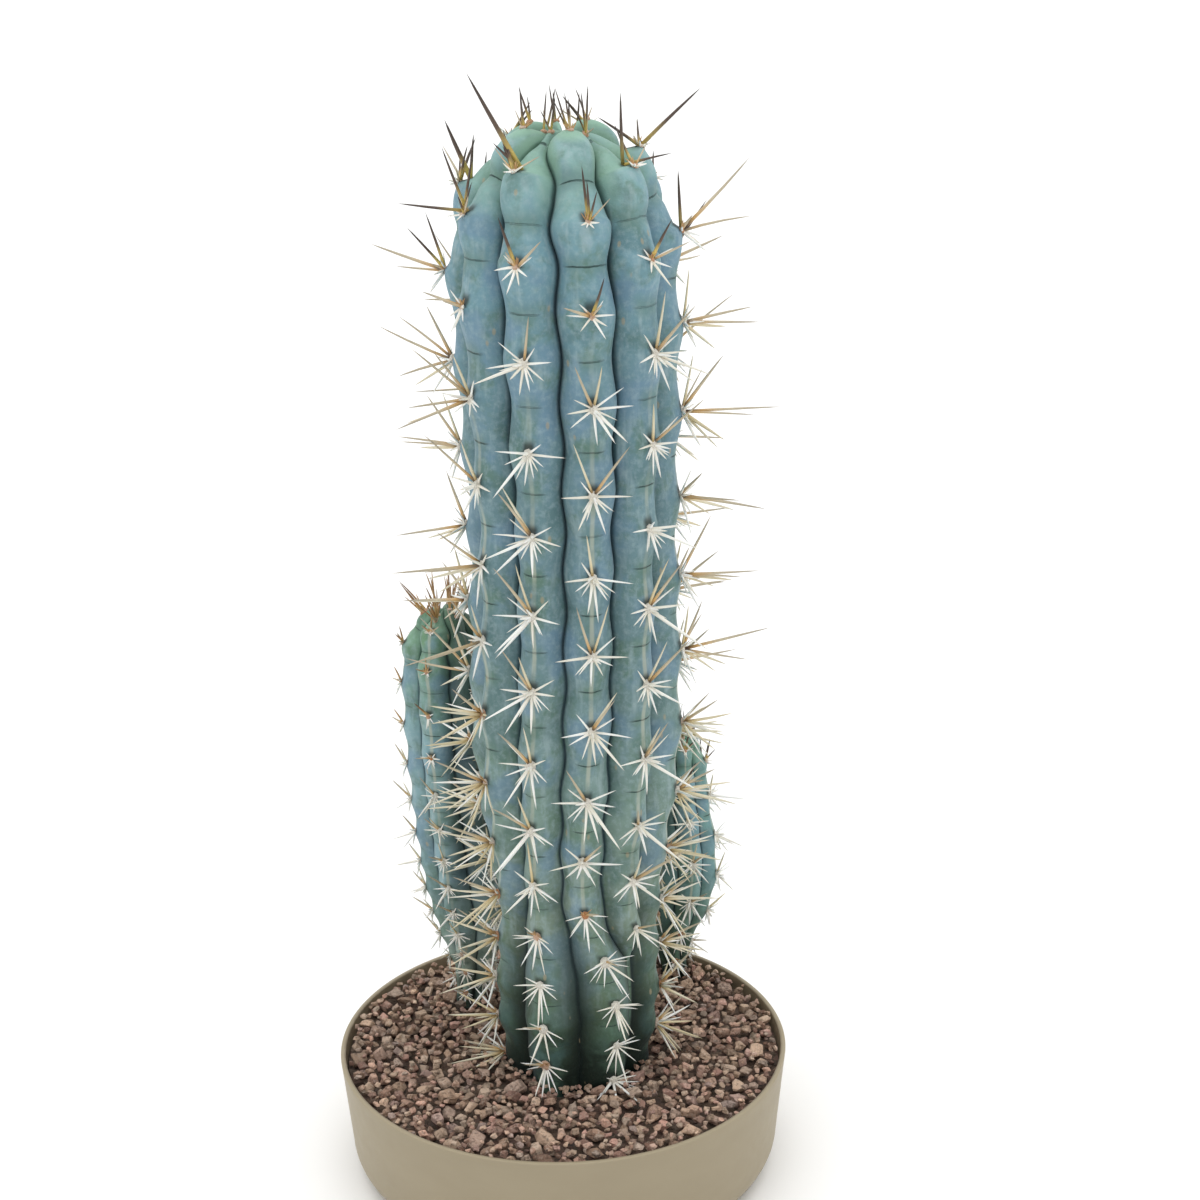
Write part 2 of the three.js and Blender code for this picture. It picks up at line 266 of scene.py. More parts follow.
MAIN_STEM = StemPlan(
    name="main_stem",
    depth_y=-12.4,
    stations=(
        (24, 8.6, 31),
        (70, 8.8, 40.5),
        (105, 9.2, 45.5),
        (165, 10, 46),
        (200, 10.5, 50),
        (265, 11.2, 57.5),
        (330, 11.5, 57.3),
        (400, 11.2, 56),
        (470, 10.2, 58),
        (528, 9, 59),
    ),
    top=604,
    groove_depth=0.22,
    rib_wave=0.08,
    crest_wave=1.3,
    rows=(62, 86, 110.5, 138, 168, 201, 236, 276, 318, 360, 403, 448, 495, 543, 584.5, 616),
    rib_heights=(110, 150, 190, 300, 500, 545, 595),
    ribs=(
        Rib((-24, -27, -28, -23, -20, -22, -32)),
        Rib((28, 20, 4, 8, 13, 13, 13)),
        Rib((56, 50, 37, 39, 48, 46, 54), fades_at=152),
        Rib((87, 85, 75, 76, 84, 84, 84), lowered=0.32),
        Rib((118, 118, 113, 113, 120, 120, 120), fades_at=140, lowered=0.32),
        Rib((149, 150, 151, 151, 156, 156, 156), lowered=0.15),
        Rib((180, 182, 189, 189, 192, 192, 192), fades_at=170, lowered=0.1),
        Rib((212, 216, 225, 226, 228, 228, 226), lowered=0.27),
        Rib((243, 250, 262, 263, 265, 265, 262), fades_at=158, lowered=0.27),
        Rib((275, 284, 297, 303, 304, 303, 298)),
    ),
    chins=((60, 0.3), (300, 0.6), (480, 1.0), (545, 2.0), (583, 3.8), (602, 7.0)),
    keels=((90, 1.6, 0.95), (200, 1.5, 0.84), (330, 1.5, 0.76), (430, 2.0, 0.58)),
    calm_range=(130, 220),
)

LEFT_SHOOT = StemPlan(
    name="left_shoot",
    depth_y=60,
    stations=(
        (30, -57, 8),
        (68, -56.7, 9),
        (90, -54.6, 12),
        (110, -54, 19),
        (150, -57.2, 25),
        (220, -62.9, 26),
        (282, -64.7, 25.5),
    ),
    top=321,
    groove_depth=0.26,
    rib_wave=0.05,
    crest_wave=0.7,
    rows=(75, 90, 105, 120, 136, 153, 171, 191, 213, 237, 263, 290, 311),
    rib_heights=(110,),
    ribs=even_ribs(6, -21),
    chins=((60, 0.2), (280, 0.6), (310, 1.2)),
    keels=((80, 1.6, 0.9), (280, 1.5, 0.74), (310, 1.9, 0.62)),
)

RIGHT_SHOOT = StemPlan(
    name="right_shoot",
    depth_y=91,
    stations=(
        (30, 68, 7.5),
        (68, 68, 8),
        (88, 66.1, 12.5),
        (108, 70.9, 17),
        (132, 75, 19.5),
        (165, 74.4, 19),
        (188, 72.4, 17.5),
    ),
    top=228,
    groove_depth=0.26,
    rib_wave=0.05,
    crest_wave=0.6,
    rows=(78, 100, 123, 149, 176, 202, 220),
    rib_heights=(110,),
    ribs=even_ribs(6, 10),
    chins=((60, 0.2), (190, 0.5), (220, 0.9)),
    keels=((80, 1.6, 0.9), (190, 1.5, 0.74), (220, 1.9, 0.62)),
)


class StemForm:
    """The surface of a stem: where a point of its skin lies for a rib, a side and a height.

    Lengths are in millimetres, and shares are of the rounded tip's girth unless they say otherwise.
    """

    smallest_width = 0.12  # of a rib that has faded out, against a full one
    dome_power = 2.4  # of the outline of a rounded tip: 2 is a half ellipse, more is boxier
    fade_reach = 14.0
    calmest = 0.3  # how much of the ribs' swing in width is left below the plan's calm range
    crown_wave = 0.5  # how much more the ribs' width swings in the crown
    tip_wave = 4.5  # and yet more round the tip
    crown_lag = 0.1  # how many rows the swing comes early in the crown
    crown_range = (-10.0, -15.0)  # where the crown starts, from the shoulder, and is full, from the top
    tip_range = (-26.0, -4.0)  # where the tip starts and is full, both from the top
    crown_groove = 0.35  # how much deeper the grooves of the crown are
    tip_groove = 0.4  # how deep they still are at the very tip
    chin_step = (-0.01, 0.11)  # in rows above an areole: where a chin steps back
    chin_swell = (0.14, 0.86)  # and where the next one swells
    chin_throw = 1.6  # how far both go, against the plan's chins
    fold_width = 0.1  # in rows
    pinch = 0.054  # depth of the folds between the tubercles of the crown
    dimple = 0.051  # depth of the sunken tip
    dimple_reach = 0.26
    smooth_reach = 0.16  # nearer to the axis the relief dies out
    probe = 3.0  # how far above and below a point its directions are measured
    probe_share = 0.4  # and at most this share of what is left to the top
    probe_side = 0.2  # how far to its sides, of the way to the groove

    def __init__(self, plan: StemPlan) -> None:
        """Keeps the plan and the areole rows, carried on by two rows at both ends."""
        self.plan = plan
        rows = plan.rows
        first = rows[1] - rows[0]
        last = rows[-1] - rows[-2]
        below = (rows[0] - 2 * first, rows[0] - first)
        above = (rows[-1] + last, rows[-1] + 2 * last)
        self._row_heights = np.array([*below, *rows, *above])
        self._row_numbers = np.arange(-2, len(rows) + 2, dtype=float)
        self._girth = plan.stations[-1][2]

    def row_at(self, z: np.ndarray) -> np.ndarray:
        """Counts areole rows: whole numbers fall on the even ribs' areoles."""
        return np.interp(z, self._row_heights, self._row_numbers)

    def height_of(self, row: np.ndarray) -> np.ndarray:
        """Height of a row that may be a broken number."""
        return np.interp(row, self._row_numbers, self._row_heights)

    def centre(self, z: np.ndarray) -> np.ndarray:
        """Place of the stem's axis across, at each height."""
        stations = self.plan.stations
        return smooth_at([s[0] for s in stations], [s[1] for s in stations], z)

    def crest_radius(self, z: np.ndarray) -> np.ndarray:
        """Radius over the crests at each height, rounded off above the shoulder."""
        stations = self.plan.stations
        body = smooth_at([s[0] for s in stations], [s[2] for s in stations], z)
        rise = np.clip((z - self.plan.shoulder) / (self.plan.top - self.plan.shoulder), 0.0, 1.0)
        return body * np.sqrt(1.0 - rise**self.dome_power)

    def outward(self, z: np.ndarray) -> tuple[np.ndarray, np.ndarray]:
        """Finds the outward direction of the crests.

        Args:
            z: heights.

        Returns:
            Its level and its upright part at each height.
        """
        tip = self.plan.top - self.plan.shoulder
        rise = np.clip((z - self.plan.shoulder) / tip, 0.0, 1.0)
        level = 2.0 * self.crest_radius(z) / self._girth**2
        upright = self.dome_power * rise ** (self.dome_power - 1.0) / tip
        size = np.hypot(level, upright)
        return level / size, upright / size

    def presence(self, z: np.ndarray) -> np.ndarray:
        """Finds how far each rib has grown out of the stem, from 0 to 1.

        Args:
            z: heights.

        Returns:
            One row for each rib.
        """
        reach = self.fade_reach
        return np.stack(
            [
                np.ones(np.shape(z))
                if rib.fades_at is None
                else smooth_step(z, rib.fades_at - reach, rib.fades_at + reach)
                for rib in self.plan.ribs
            ]
        )

    def crown(self, z: np.ndarray) -> np.ndarray:
        """How far each height belongs to the crown, from 0 to 1."""
        start, full = self.crown_range
        return smooth_step(z, self.plan.shoulder + start, self.plan.top + full)

    def widths(self, z: np.ndarray) -> np.ndarray:
        """Finds the width of the ribs, which swings with their areoles, against a full one.

        Args:
            z: heights.

        Returns:
            One row for each rib.
        """
        plan = self.plan
        crown = self.crown(z)
        tip = smooth_step(z, plan.top + self.tip_range[0], plan.top + self.tip_range[1])
        calm = 1.0
        if plan.calm_range is not None:
            calm = self.calmest + (1.0 - self.calmest) * smooth_step(z, *plan.calm_range)
        wave = plan.rib_wave * (1.0 + self.crown_wave * crown + self.tip_wave * tip) * calm
        lag = self.crown_lag * crown * (1.0 - tip)
        swing = np.cos(FULL_TURN * (self.row_at(z)[None, :] + plan.row_offsets[:, None] + lag[None, :]))
        return np.maximum(self.smallest_width, self.presence(z)) * (1.0 + wave[None, :] * swing)

    def angles(self, index: np.ndarray, side: np.ndarray, z: np.ndarray) -> np.ndarray:
        """Finds where points lie round the stem.

        Args:
            index: rib of each point.
            side: -1 in the groove before the rib, 0 on its crest, 1 in the groove after it.
            z: height of each point.

        Returns:
            Angles in radians; a groove lies between two crests as their widths share the way.
        """
        plan = self.plan
        count = len(plan.ribs)
        width = self.widths(z)
        crest = np.stack([smooth_at(plan.rib_heights, rib.angles, z) for rib in plan.ribs])
        place = np.arange(len(index))
        step = np.where(side < 0, -1, 1)
        beside = (index + step) % count
        turn = (index + step) // count
        own, other = crest[index, place], crest[beside, place] + 360.0 * turn
        own_width, other_width = width[index, place], width[beside, place]
        groove = (own * other_width + other * own_width) / (own_width + other_width)
        return np.radians(own + (groove - own) * np.abs(side))

    def lift(self, index: np.ndarray, side: np.ndarray, z: np.ndarray) -> np.ndarray:
        """Finds how far the skin stands out over the plain crest radius, or sinks below it.

        Args:
            index: rib of each point.
            side: its side of the rib, as in angles.
            z: height of each point.

        Returns:
            Distances along the outward direction.
        """
        plan = self.plan
        crown = self.crown(z)
        radius = self.crest_radius(z)
        row = self.row_at(z)
        offset = plan.row_offsets[index]
        part = np.mod(row + offset, 1.0)
        grown = self.presence(z)[index, np.arange(len(index))]

        keel_heights, powers, bulges = zip(*plan.keels)
        power = np.interp(z, keel_heights, powers)
        bulge = np.interp(z, keel_heights, bulges)
        lobe = np.maximum(0.0, 1.0 - np.abs(side) ** power) ** bulge * grown

        chin_heights, chin_sizes = zip(*plan.chins)
        step_back = 1.0 - self.chin_throw * smooth_step(part, *self.chin_step)
        swelling = self.chin_throw * smooth_step(part, *self.chin_swell)
        jut = (step_back + swelling) * np.interp(z, chin_heights, chin_sizes)
        fullness = np.minimum(1.0, radius / self.crest_radius(np.array([plan.shoulder]))[0])
        wave = plan.crest_wave * np.cos(FULL_TURN * (row + offset))
        relief = lobe * np.sqrt(fullness) * (wave + jut)

        tapered = self._girth * np.maximum(self.tip_groove, fullness)
        girth = np.where(z > plan.shoulder, tapered, radius)
        depth = plan.groove_depth * (1.0 + self.crown_groove * crown) * girth * (1.0 - lobe)
        fold = np.exp(-(((part - 0.5) / self.fold_width) ** 2)) * lobe * self.pinch * self._girth
        settled = smooth_step(radius, 1.0, self.smooth_reach * self._girth)
        return (relief - depth - fold * crown) * settled

    def point(self, index: np.ndarray, side: np.ndarray, z: np.ndarray) -> np.ndarray:
        """Finds points of the skin.

        Args:
            index: rib of each point.
            side: its side of the rib, as in angles.
            z: height of each point.

        Returns:
            One row of x, y and z for each point.
        """
        theta = self.angles(index, side, z)
        radius = self.crest_radius(z)
        lift = self.lift(index, side, z)
        level, upright = self.outward(z)
        reach = np.maximum(0.0, radius + lift * level)
        x = self.centre(z) + reach * np.sin(theta)
        y = self.plan.depth_y - reach * np.cos(theta)
        near_axis = 1.0 - smooth_step(radius, 0.0, self.dimple_reach * self._girth)
        sunk = self.dimple * self._girth * near_axis
        return np.stack([x, y, z + lift * upright - sunk * self.crown(z)], axis=1)

    def crest_frame(self, index: int, z: float) -> tuple[Vector, Vector, Vector, Vector]:
        """Finds the place and the directions of the skin on a crest.

        Args:
            index: number of the rib.
            z: height in millimetres.

        Returns:
            The place in millimetres, and the directions to the right, up the crest and outwards.
        """
        reach = min(self.probe, self.probe_share * (self.plan.top - z))
        heights = np.array([z, z - reach, z + reach, z, z])
        sides = np.array([0.0, 0.0, 0.0, -self.probe_side, self.probe_side])
        spots = self.point(np.full(len(sides), index), sides, heights)
        up = Vector(spots[2] - spots[1]).normalized()
        right = Vector(spots[4] - spots[3])
        right = (right - right.dot(up) * up).normalized()
        return Vector(spots[0]), right, up, right.cross(up)


# ---------------------------------------- finishes


class Finish:
    """The finish of one real material; each kind says what its surface looks like."""

    name: str  # what the real material is and how its surface was made

    def surface(self, add: AddNode, place: Socket) -> dict[str, Any]:
        """Adds the patterns of the surface.

        Args:
            add: adds a node to the material.
            place: place on the object.

        Returns:
            Settings and links of the shader.
        """
        raise NotImplementedError

    def build(self) -> bpy.types.Material:
        """Builds the node material."""
        material = bpy.data.materials.new(self.name)
        material.use_nodes = True
        material.node_tree.nodes.clear()
        add = partial(add_node, material.node_tree)
        place = add("TexCoord").node.outputs["Object"]
        shader = add("BsdfPrincipled", inputs=self.surface(add, place))
        add("OutputMaterial", inputs={"Surface": shader})
        return material


@dataclass(frozen=True)
class WaxySkin(Finish):
    """Living cactus epidermis under a bluish wax bloom.

    The bloom gives a soft, powdery blue that is rubbed greener in patches. The grooves, the fold above
    each areole and the flanks near the foot get painted shade, and each rib has a pressed crease between
    two areoles, drawn as a line of painted shade. The crown is fresh green; the colour darkens towards
    the foot.
    """

    name: str
    heights: tuple[tuple[float, str], ...]  # height in mm and the colour there
    strip_range: tuple[float, float] = (165.0, 520.0)  # where the crests are worn
    strip_ease: tuple[float, float] = (40.0, 150.0)  # over how much it sets in and dies out
    fresh_range: tuple[float, float] = (552.0, 599.0)
    fresh_green: str = "#8bb19b"
    rubbed_green: str = "#5c7a66"
    bloom_pale: str = "#a6babf"
    bloom_blue: str = "#6c8ca3"
    wiped_teal: str = "#4c6c6c"  # where rain has wiped the bloom off
    bloom_range: tuple[float, float] = (80.0, 200.0)  # heights between which the bloom sets in
    # painted shade in the grooves, bluish below and greener in the crown
    groove_blue: str = "#29434d"
    groove_green: str = "#3f6650"  # in the crown
    # painted shade along the pressed crease
    crease_dark: str = "#2b443f"
    crease_widening: float = 50.0  # below the fresh range, where the creases start to reach further
    # painted shade in the fold above each areole
    fold_dark: str = "#2a2f2a"
    strip_tan: str = "#b3b9a8"
    scar_cork: str = "#a89a7c"
    sheen_blue: str = "#cfe3ea"
    # painted shade, on the flanks near the foot and on a shoot's half behind the tall stem
    valley_green: str = "#16221a"
    valley_range: tuple[float, float] = (95.0, 230.0)  # painted shade on the flanks near the foot: deepest below the first, gone above the second
    shade_range: tuple[float, float] | None = None  # across: where painted shade from the tall stem begins and where it is full
    shade_foot: tuple[float, float] = (120.0, 175.0)  # no shade below the first height
    blotch_mm: float = 17.0
    mottle_mm: float = 3.2
    streak_mm: float = 4.5
    drift_mm: float = 38.0
    haze_mm: float = 26.0
    scar_mm: float = 13.0  # from one healed scratch to the next
    pore_mm: float = 0.9
    height_drift_mm: float = 30.0  # how far the colour bands wander up and down
    row_drift: float = 0.06  # how far the marks of a row wander, in rows

    def surface(self, add: AddNode, place: Socket) -> dict[str, Any]:
        """Lays coat over coat by the object's height and the rib map.

        Args:
            add: adds a node to the material.
            place: place on the object.

        Returns:
            Settings and links of the shader.
        """
        coats = SkinCoats(self, add, place)
        coats.lay_bloom()
        coats.lay_fresh_growth()
        coats.lay_creases()
        coats.lay_worn_crests()
        coats.lay_shadows()
        if self.shade_range is not None:
            coats.lay_shade(self.shade_range)
        coats.lay_scars()
        matt = dict(zip(RANGE, (coats.blotch, 0.3, 0.7, 0.5, 0.66)))
        return {
            "Base Color": coats.skin,
            "Roughness": add("MapRange", inputs=matt),
            "IOR": 1.42,
            "Specular IOR Level": 0.35,
            "Sheen Weight": 0.12,
            "Sheen Roughness": 0.45,
            "Sheen Tint": linear(self.sheen_blue),
            "Normal": coats.relief(),
        }


class SkinCoats:
    """The coats of a waxy skin, laid over each other in one material, and what they read."""

    def __init__(self, finish: WaxySkin, add: AddNode, place: Socket) -> None:
        """Reads the place on the rib and the patterns of the epidermis, and colours it by its height.

        Args:
            finish: colours and sizes.
            add: adds a node to the material.
            place: place on the object.
        """
        self.finish, self.add, self.place = finish, add, place
        tall = add("Mapping", inputs={"Vector": place, "Scale": (1.0, 1.0, 0.16)})
        aside = add("VectorMath", {"operation": "ADD"}, {0: place, 1: (3.0, 5.0, 7.0)})
        self.blotch, self.mottle, self.streak, self.drift, self.haze = (
            add("TexNoise", inputs=dict(zip(NOISE, (spot, per_metre(size), detail, rough))))
            for spot, size, detail, rough in (
                (place, finish.blotch_mm, 4.0, 0.6),
                (place, finish.mottle_mm, 5.0, 0.65),
                (tall, finish.streak_mm, 3.0, 0.5),
                (place, finish.drift_mm, 2.0, 0.5),
                (aside, finish.haze_mm, 4.0, 0.5),
            )
        )
        self.height = add("SeparateXYZ", inputs={0: place}).node.outputs["Z"]
        rib_map = add("SeparateXYZ", inputs={0: add("UVMap", {"uv_map": "rib_map"})}).node
        turn = add("Math", {"operation": "FRACT"}, {0: rib_map.outputs["X"]})
        across = add("Math", TIMES_PLUS, {0: turn, 1: 2.0, 2: -1.0})
        self.side = add("Math", {"operation": "ABSOLUTE"}, {0: across})  # from crest to groove
        wander = add("Math", TIMES_PLUS, {0: self.blotch, 1: finish.row_drift, 2: rib_map.outputs["Y"]})
        level = add("Math", {"operation": "SUBTRACT"}, {0: wander, 1: 0.5 * finish.row_drift})
        self.phase = add("Math", {"operation": "FRACT"}, {0: level})  # from an areole up to the next
        drift = {0: self.drift, 1: finish.height_drift_mm * MM, 2: self.height}
        self.drifting_height = add("Math", TIMES_PLUS, drift)
        fresh = (self.height, *metres(finish.fresh_range), 0.0, 0.86)
        self.young = add("MapRange", SMOOTH, dict(zip(RANGE, fresh)))
        self.pressed: Socket | None = None  # how deep a crease is

        low, high = finish.heights[0][0], finish.heights[-1][0]
        part = add("MapRange", inputs=dict(zip(RANGE, self._drifting((low, high)))))
        stops = [((z - low) / (high - low), colour) for z, colour in finish.heights]
        self.skin = add("ValToRGB", inputs={"Fac": part}, stops=stops)

    def _drifting(self, band: tuple[float, float]) -> tuple[Any, ...]:
        """Gives the drifting height with a band of heights as its limits, in metres."""
        middle = 0.5 * self.finish.height_drift_mm
        return (self.drifting_height, *metres((band[0] + middle, band[1] + middle)))

    def _lay(self, mask: Socket, colour: str | Socket) -> None:
        """Lays one coat of a colour where its mask shows it."""
        over = linear(colour) if isinstance(colour, str) else colour
        self.skin = self.add("MixRGB", inputs={"Fac": mask, "Color1": self.skin, "Color2": over})

    def lay_bloom(self) -> None:
        """Lays the wax bloom: rubbed green, streaky and powdery pale, hazy blue, or wiped off."""
        bloomed, rubbed, streaky, hazy, wiped, powder = (
            self.add("MapRange", SMOOTH, dict(zip(RANGE, band)))
            for band in (
                (self.height, *metres(self.finish.bloom_range)),
                (self.blotch, 0.46, 0.66, 0.0, 0.66),
                (self.streak, 0.5, 0.72, 0.0, 0.42),
                (self.haze, 0.48, 0.64, 0.0, 0.66),
                (self.haze, 0.34, 0.47, 0.5, 0.0),
                (self.mottle, 0.42, 0.72, 0.0, 0.34),
            )
        )
        self._lay(rubbed, self.finish.rubbed_green)
        self._lay(self.add("Math", TIMES, {0: streaky, 1: bloomed}), self.finish.bloom_pale)
        self._lay(self.add("Math", TIMES, {0: hazy, 1: bloomed}), self.finish.bloom_blue)
        self._lay(wiped, self.finish.wiped_teal)
        self._lay(self.add("Math", TIMES, {0: powder, 1: bloomed}), self.finish.bloom_pale)

    def lay_fresh_growth(self) -> None:
        """Greens the crown just above its areoles and towards its grooves, and all of the tip."""
        greys = ("#909090", "#ffffff", "#dcdcdc", "#505050", "#606060")
        stops = tuple(zip((0.0, 0.08, 0.3, 0.75, 1.0), greys))
        above = self.add("ValToRGB", inputs={"Fac": self.phase}, stops=stops)
        end = self.finish.fresh_range[1]
        inward, tip = (
            self.add("MapRange", SMOOTH, dict(zip(RANGE, band)))
            for band in (
                (self.side, 0.45, 0.85),
                (self.height, *metres((end - 1.0, end + 4.0)), 0.0, 0.85),
            )
        )
        above = self.add("Math", {"operation": "MAXIMUM"}, {0: above, 1: inward})
        fresh = self.add("Math", TIMES, {0: self.young, 1: above})
        fresh = self.add("Math", {"operation": "MAXIMUM"}, {0: fresh, 1: tip})
        self._lay(fresh, self.finish.fresh_green)

    def lay_creases(self) -> None:
        """Presses a thin crease with a green halo halfway between two areoles, its line darkened as
        painted shade.
        """
        half = self.add("Math", {"operation": "SUBTRACT"}, {0: self.phase, 1: 0.5})
        from_crease = self.add("Math", {"operation": "ABSOLUTE"}, {0: half})
        start = self.finish.fresh_range[0]
        reaching = (self.height, *metres((start - self.finish.crease_widening, start)), 0.0, 0.35)
        widened = self.add("MapRange", SMOOTH, dict(zip(RANGE, reaching)))
        aside_crest = self.add("Math", {"operation": "SUBTRACT"}, {0: self.side, 1: widened})
        inner, near, broken, line = (
            self.add("MapRange", SMOOTH, dict(zip(RANGE, band)))
            for band in (
                (aside_crest, 0.2, 0.55, 1.0, 0.0),
                (from_crease, 0.02, 0.2, 0.42, 0.0),
                (self.drift, 0.38, 0.6, 0.05, 0.85),
                (from_crease, 0.003, 0.013, 1.0, 0.0),
            )
        )
        self._lay(self.add("Math", TIMES, {0: near, 1: inner}), self.finish.rubbed_green)
        self.pressed = self.add("Math", TIMES, {0: line, 1: inner})
        # painted shade along the crease line
        self._lay(self.add("Math", TIMES, {0: self.pressed, 1: broken}), self.finish.crease_dark)

    def lay_worn_crests(self) -> None:
        """Wears a corky line into the crests of the middle part."""
        edge = self.add("Math", TIMES_PLUS, {0: self.mottle, 1: 0.05, 2: self.side})
        start, end = self.finish.strip_range
        setting_in, dying_out = self.finish.strip_ease
        strip, *masks = (
            self.add("MapRange", SMOOTH, dict(zip(RANGE, band)))
            for band in (
                (self.height, *metres((start, start + setting_in))),
                (self.height, *metres((end - dying_out, end)), 1.0, 0.0),
                (self.haze, 0.4, 0.55, 0.35, 1.0),
                (edge, 0.06, 0.14, 0.66, 0.0),
            )
        )
        for mask in masks:
            strip = self.add("Math", TIMES, {0: strip, 1: mask})
        self._lay(strip, self.finish.strip_tan)

    def lay_shadows(self) -> None:
        """Paints shade into the fold above each areole, the grooves, and the flanks near the foot."""
        fold_up, fold_side, deep, low_down, flank = (
            self.add("MapRange", SMOOTH, dict(zip(RANGE, band)))
            for band in (
                (self.phase, 0.08, 0.17, 0.85, 0.0),
                (self.side, 0.08, 0.24, 1.0, 0.0),
                (self.side, 0.88, 0.99, 0.0, 0.85),
                (*self._drifting(self.finish.valley_range), 0.92, 0.12),
                (self.side, 0.22, 0.95),
            )
        )
        blue, green = linear(self.finish.groove_blue), linear(self.finish.groove_green)
        groove = self.add("MixRGB", inputs={"Fac": self.young, "Color1": blue, "Color2": green})
        # painted shade in the fold above each areole
        self._lay(self.add("Math", TIMES, {0: fold_up, 1: fold_side}), self.finish.fold_dark)
        # painted shade in the grooves
        self._lay(deep, groove)
        # painted shade on the flanks near the foot
        self._lay(self.add("Math", TIMES, {0: low_down, 1: flank}), self.finish.valley_green)

    def lay_shade(self, across: tuple[float, float]) -> None:
        """Paints shade on the half of a shoot that the tall stem shades.

        Args:
            across: where the shade begins and where it is full, in millimetres.
        """
        place_across = self.add("SeparateXYZ", inputs={0: self.place}).node.outputs["X"]
        shaded, above_foot = (
            self.add("MapRange", SMOOTH, dict(zip(RANGE, band)))
            for band in (
                (place_across, *metres(across), 0.0, 0.68),
                (self.height, *metres(self.finish.shade_foot), 0.25, 1.0),
            )
        )
        self._lay(self.add("Math", TIMES, {0: shaded, 1: above_foot}), self.finish.valley_green)

    def lay_scars(self) -> None:
        """Heals a few scratches with cork."""
        upright = self.add("Mapping", inputs={"Vector": self.place, "Scale": (1.0, 1.0, 0.5)})
        size = per_metre(self.finish.scar_mm)
        cell = self.add("TexVoronoi", inputs={"Vector": upright, "Scale": size})
        scar = self.add("MapRange", SMOOTH, dict(zip(RANGE, (cell, 0.05, 0.1, 0.55, 0.0))))
        self._lay(scar, self.finish.scar_cork)

    def relief(self) -> Socket:
        """Gives the normal of pores and wrinkles, with the creases pressed in."""
        size = per_metre(self.finish.pore_mm)
        pores = self.add("TexNoise", inputs=dict(zip(NOISE, (self.place, size, 3.0))))
        relief = self.add("Bump", inputs={"Strength": 0.25, "Distance": 0.0004, "Height": pores})
        sunk = self.add("Math", {"operation": "SUBTRACT"}, {0: 1.0, 1: self.pressed})
        for strength, distance, height in ((0.35, 0.0012, self.mottle), (0.8, 0.0015, sunk)):
            bump = {"Strength": strength, "Distance": distance, "Height": height, "Normal": relief}
            relief = self.add("Bump", inputs=bump)
        return relief


@dataclass(frozen=True)
class SpineHorn(Finish):
    """Dry, horny spine tissue, slightly glossy, darker towards tip or base by its age."""

    name: str
    base: str
    middle: str
    tip: str
    aged: str  # what single spines lean towards
    root: str | None = None  # a darker foot, where it has one
    roughness: float = 0.42
    places: tuple[float, float, float, float] = (0.08, 0.19, 0.45, 1.0)  # of root, base, middle and tip
    grain_mm: float = 1.5

    def surface(self, add: AddNode, place: Socket) -> dict[str, Any]:
        """Colours the horn by the spine map: tone across, length upwards."""
        spine_map = add("SeparateXYZ", inputs={0: add("UVMap", {"uv_map": "spine_map"})}).node
        stops = tuple(zip(self.places, (self.root or self.base, self.base, self.middle, self.tip)))
        along = add("ValToRGB", inputs={"Fac": spine_map.outputs["Y"]}, stops=stops)
        tone = add("MapRange", inputs={"Value": spine_map.outputs["X"], "To Max": 0.6})
        colour = add("MixRGB", inputs={"Fac": tone, "Color1": along, "Color2": linear(self.aged)})
        grain = add("TexNoise", inputs=dict(zip(NOISE, (place, per_metre(self.grain_mm), 2.0))))
        return {
            "Base Color": colour,
            "Roughness": self.roughness,
            "IOR": 1.54,
            "Subsurface Weight": 0.08,
            "Subsurface Radius": (0.8, 0.6, 0.4),
            "Subsurface Scale": 0.001,
            "Normal": add("Bump", inputs={"Strength": 0.2, "Distance": 0.0002, "Height": grain}),
        }


@dataclass(frozen=True)
class AreoleFelt(Finish):
    """Short matted wool of the areoles, cream when old and orange brown where it is young or damp."""

    name: str = "areole_wool_felted"
    cream: str = "#e6e1d4"
    rusty: str = "#bd7c45"
    fibre_mm: float = 0.7

    def surface(self, add: AddNode, place: Socket) -> dict[str, Any]:
        """Mats the fibres; the map's first value is how rusty a cushion is."""
        felt_map = add("SeparateXYZ", inputs={0: add("UVMap", {"uv_map": "spine_map"})}).node
        fibres = add("TexNoise", inputs=dict(zip(NOISE, (place, per_metre(self.fibre_mm), 4.0))))
        stops = ((0.3, self.cream), (1.0, self.rusty))
        tone = add("ValToRGB", inputs={"Fac": felt_map.outputs["X"]}, stops=stops)
        shade = add("MapRange", inputs=dict(zip(RANGE, (fibres, 0.3, 0.7, 0.62))))
        return {
            "Base Color": add("MixRGB", DARKEN, {"Fac": 1.0, "Color1": tone, "Color2": shade}),
            "Roughness": 0.95,
            "Sheen Weight": 0.4,
            "Normal": add("Bump", inputs={"Strength": 0.8, "Distance": 0.0006, "Height": fibres}),
        }


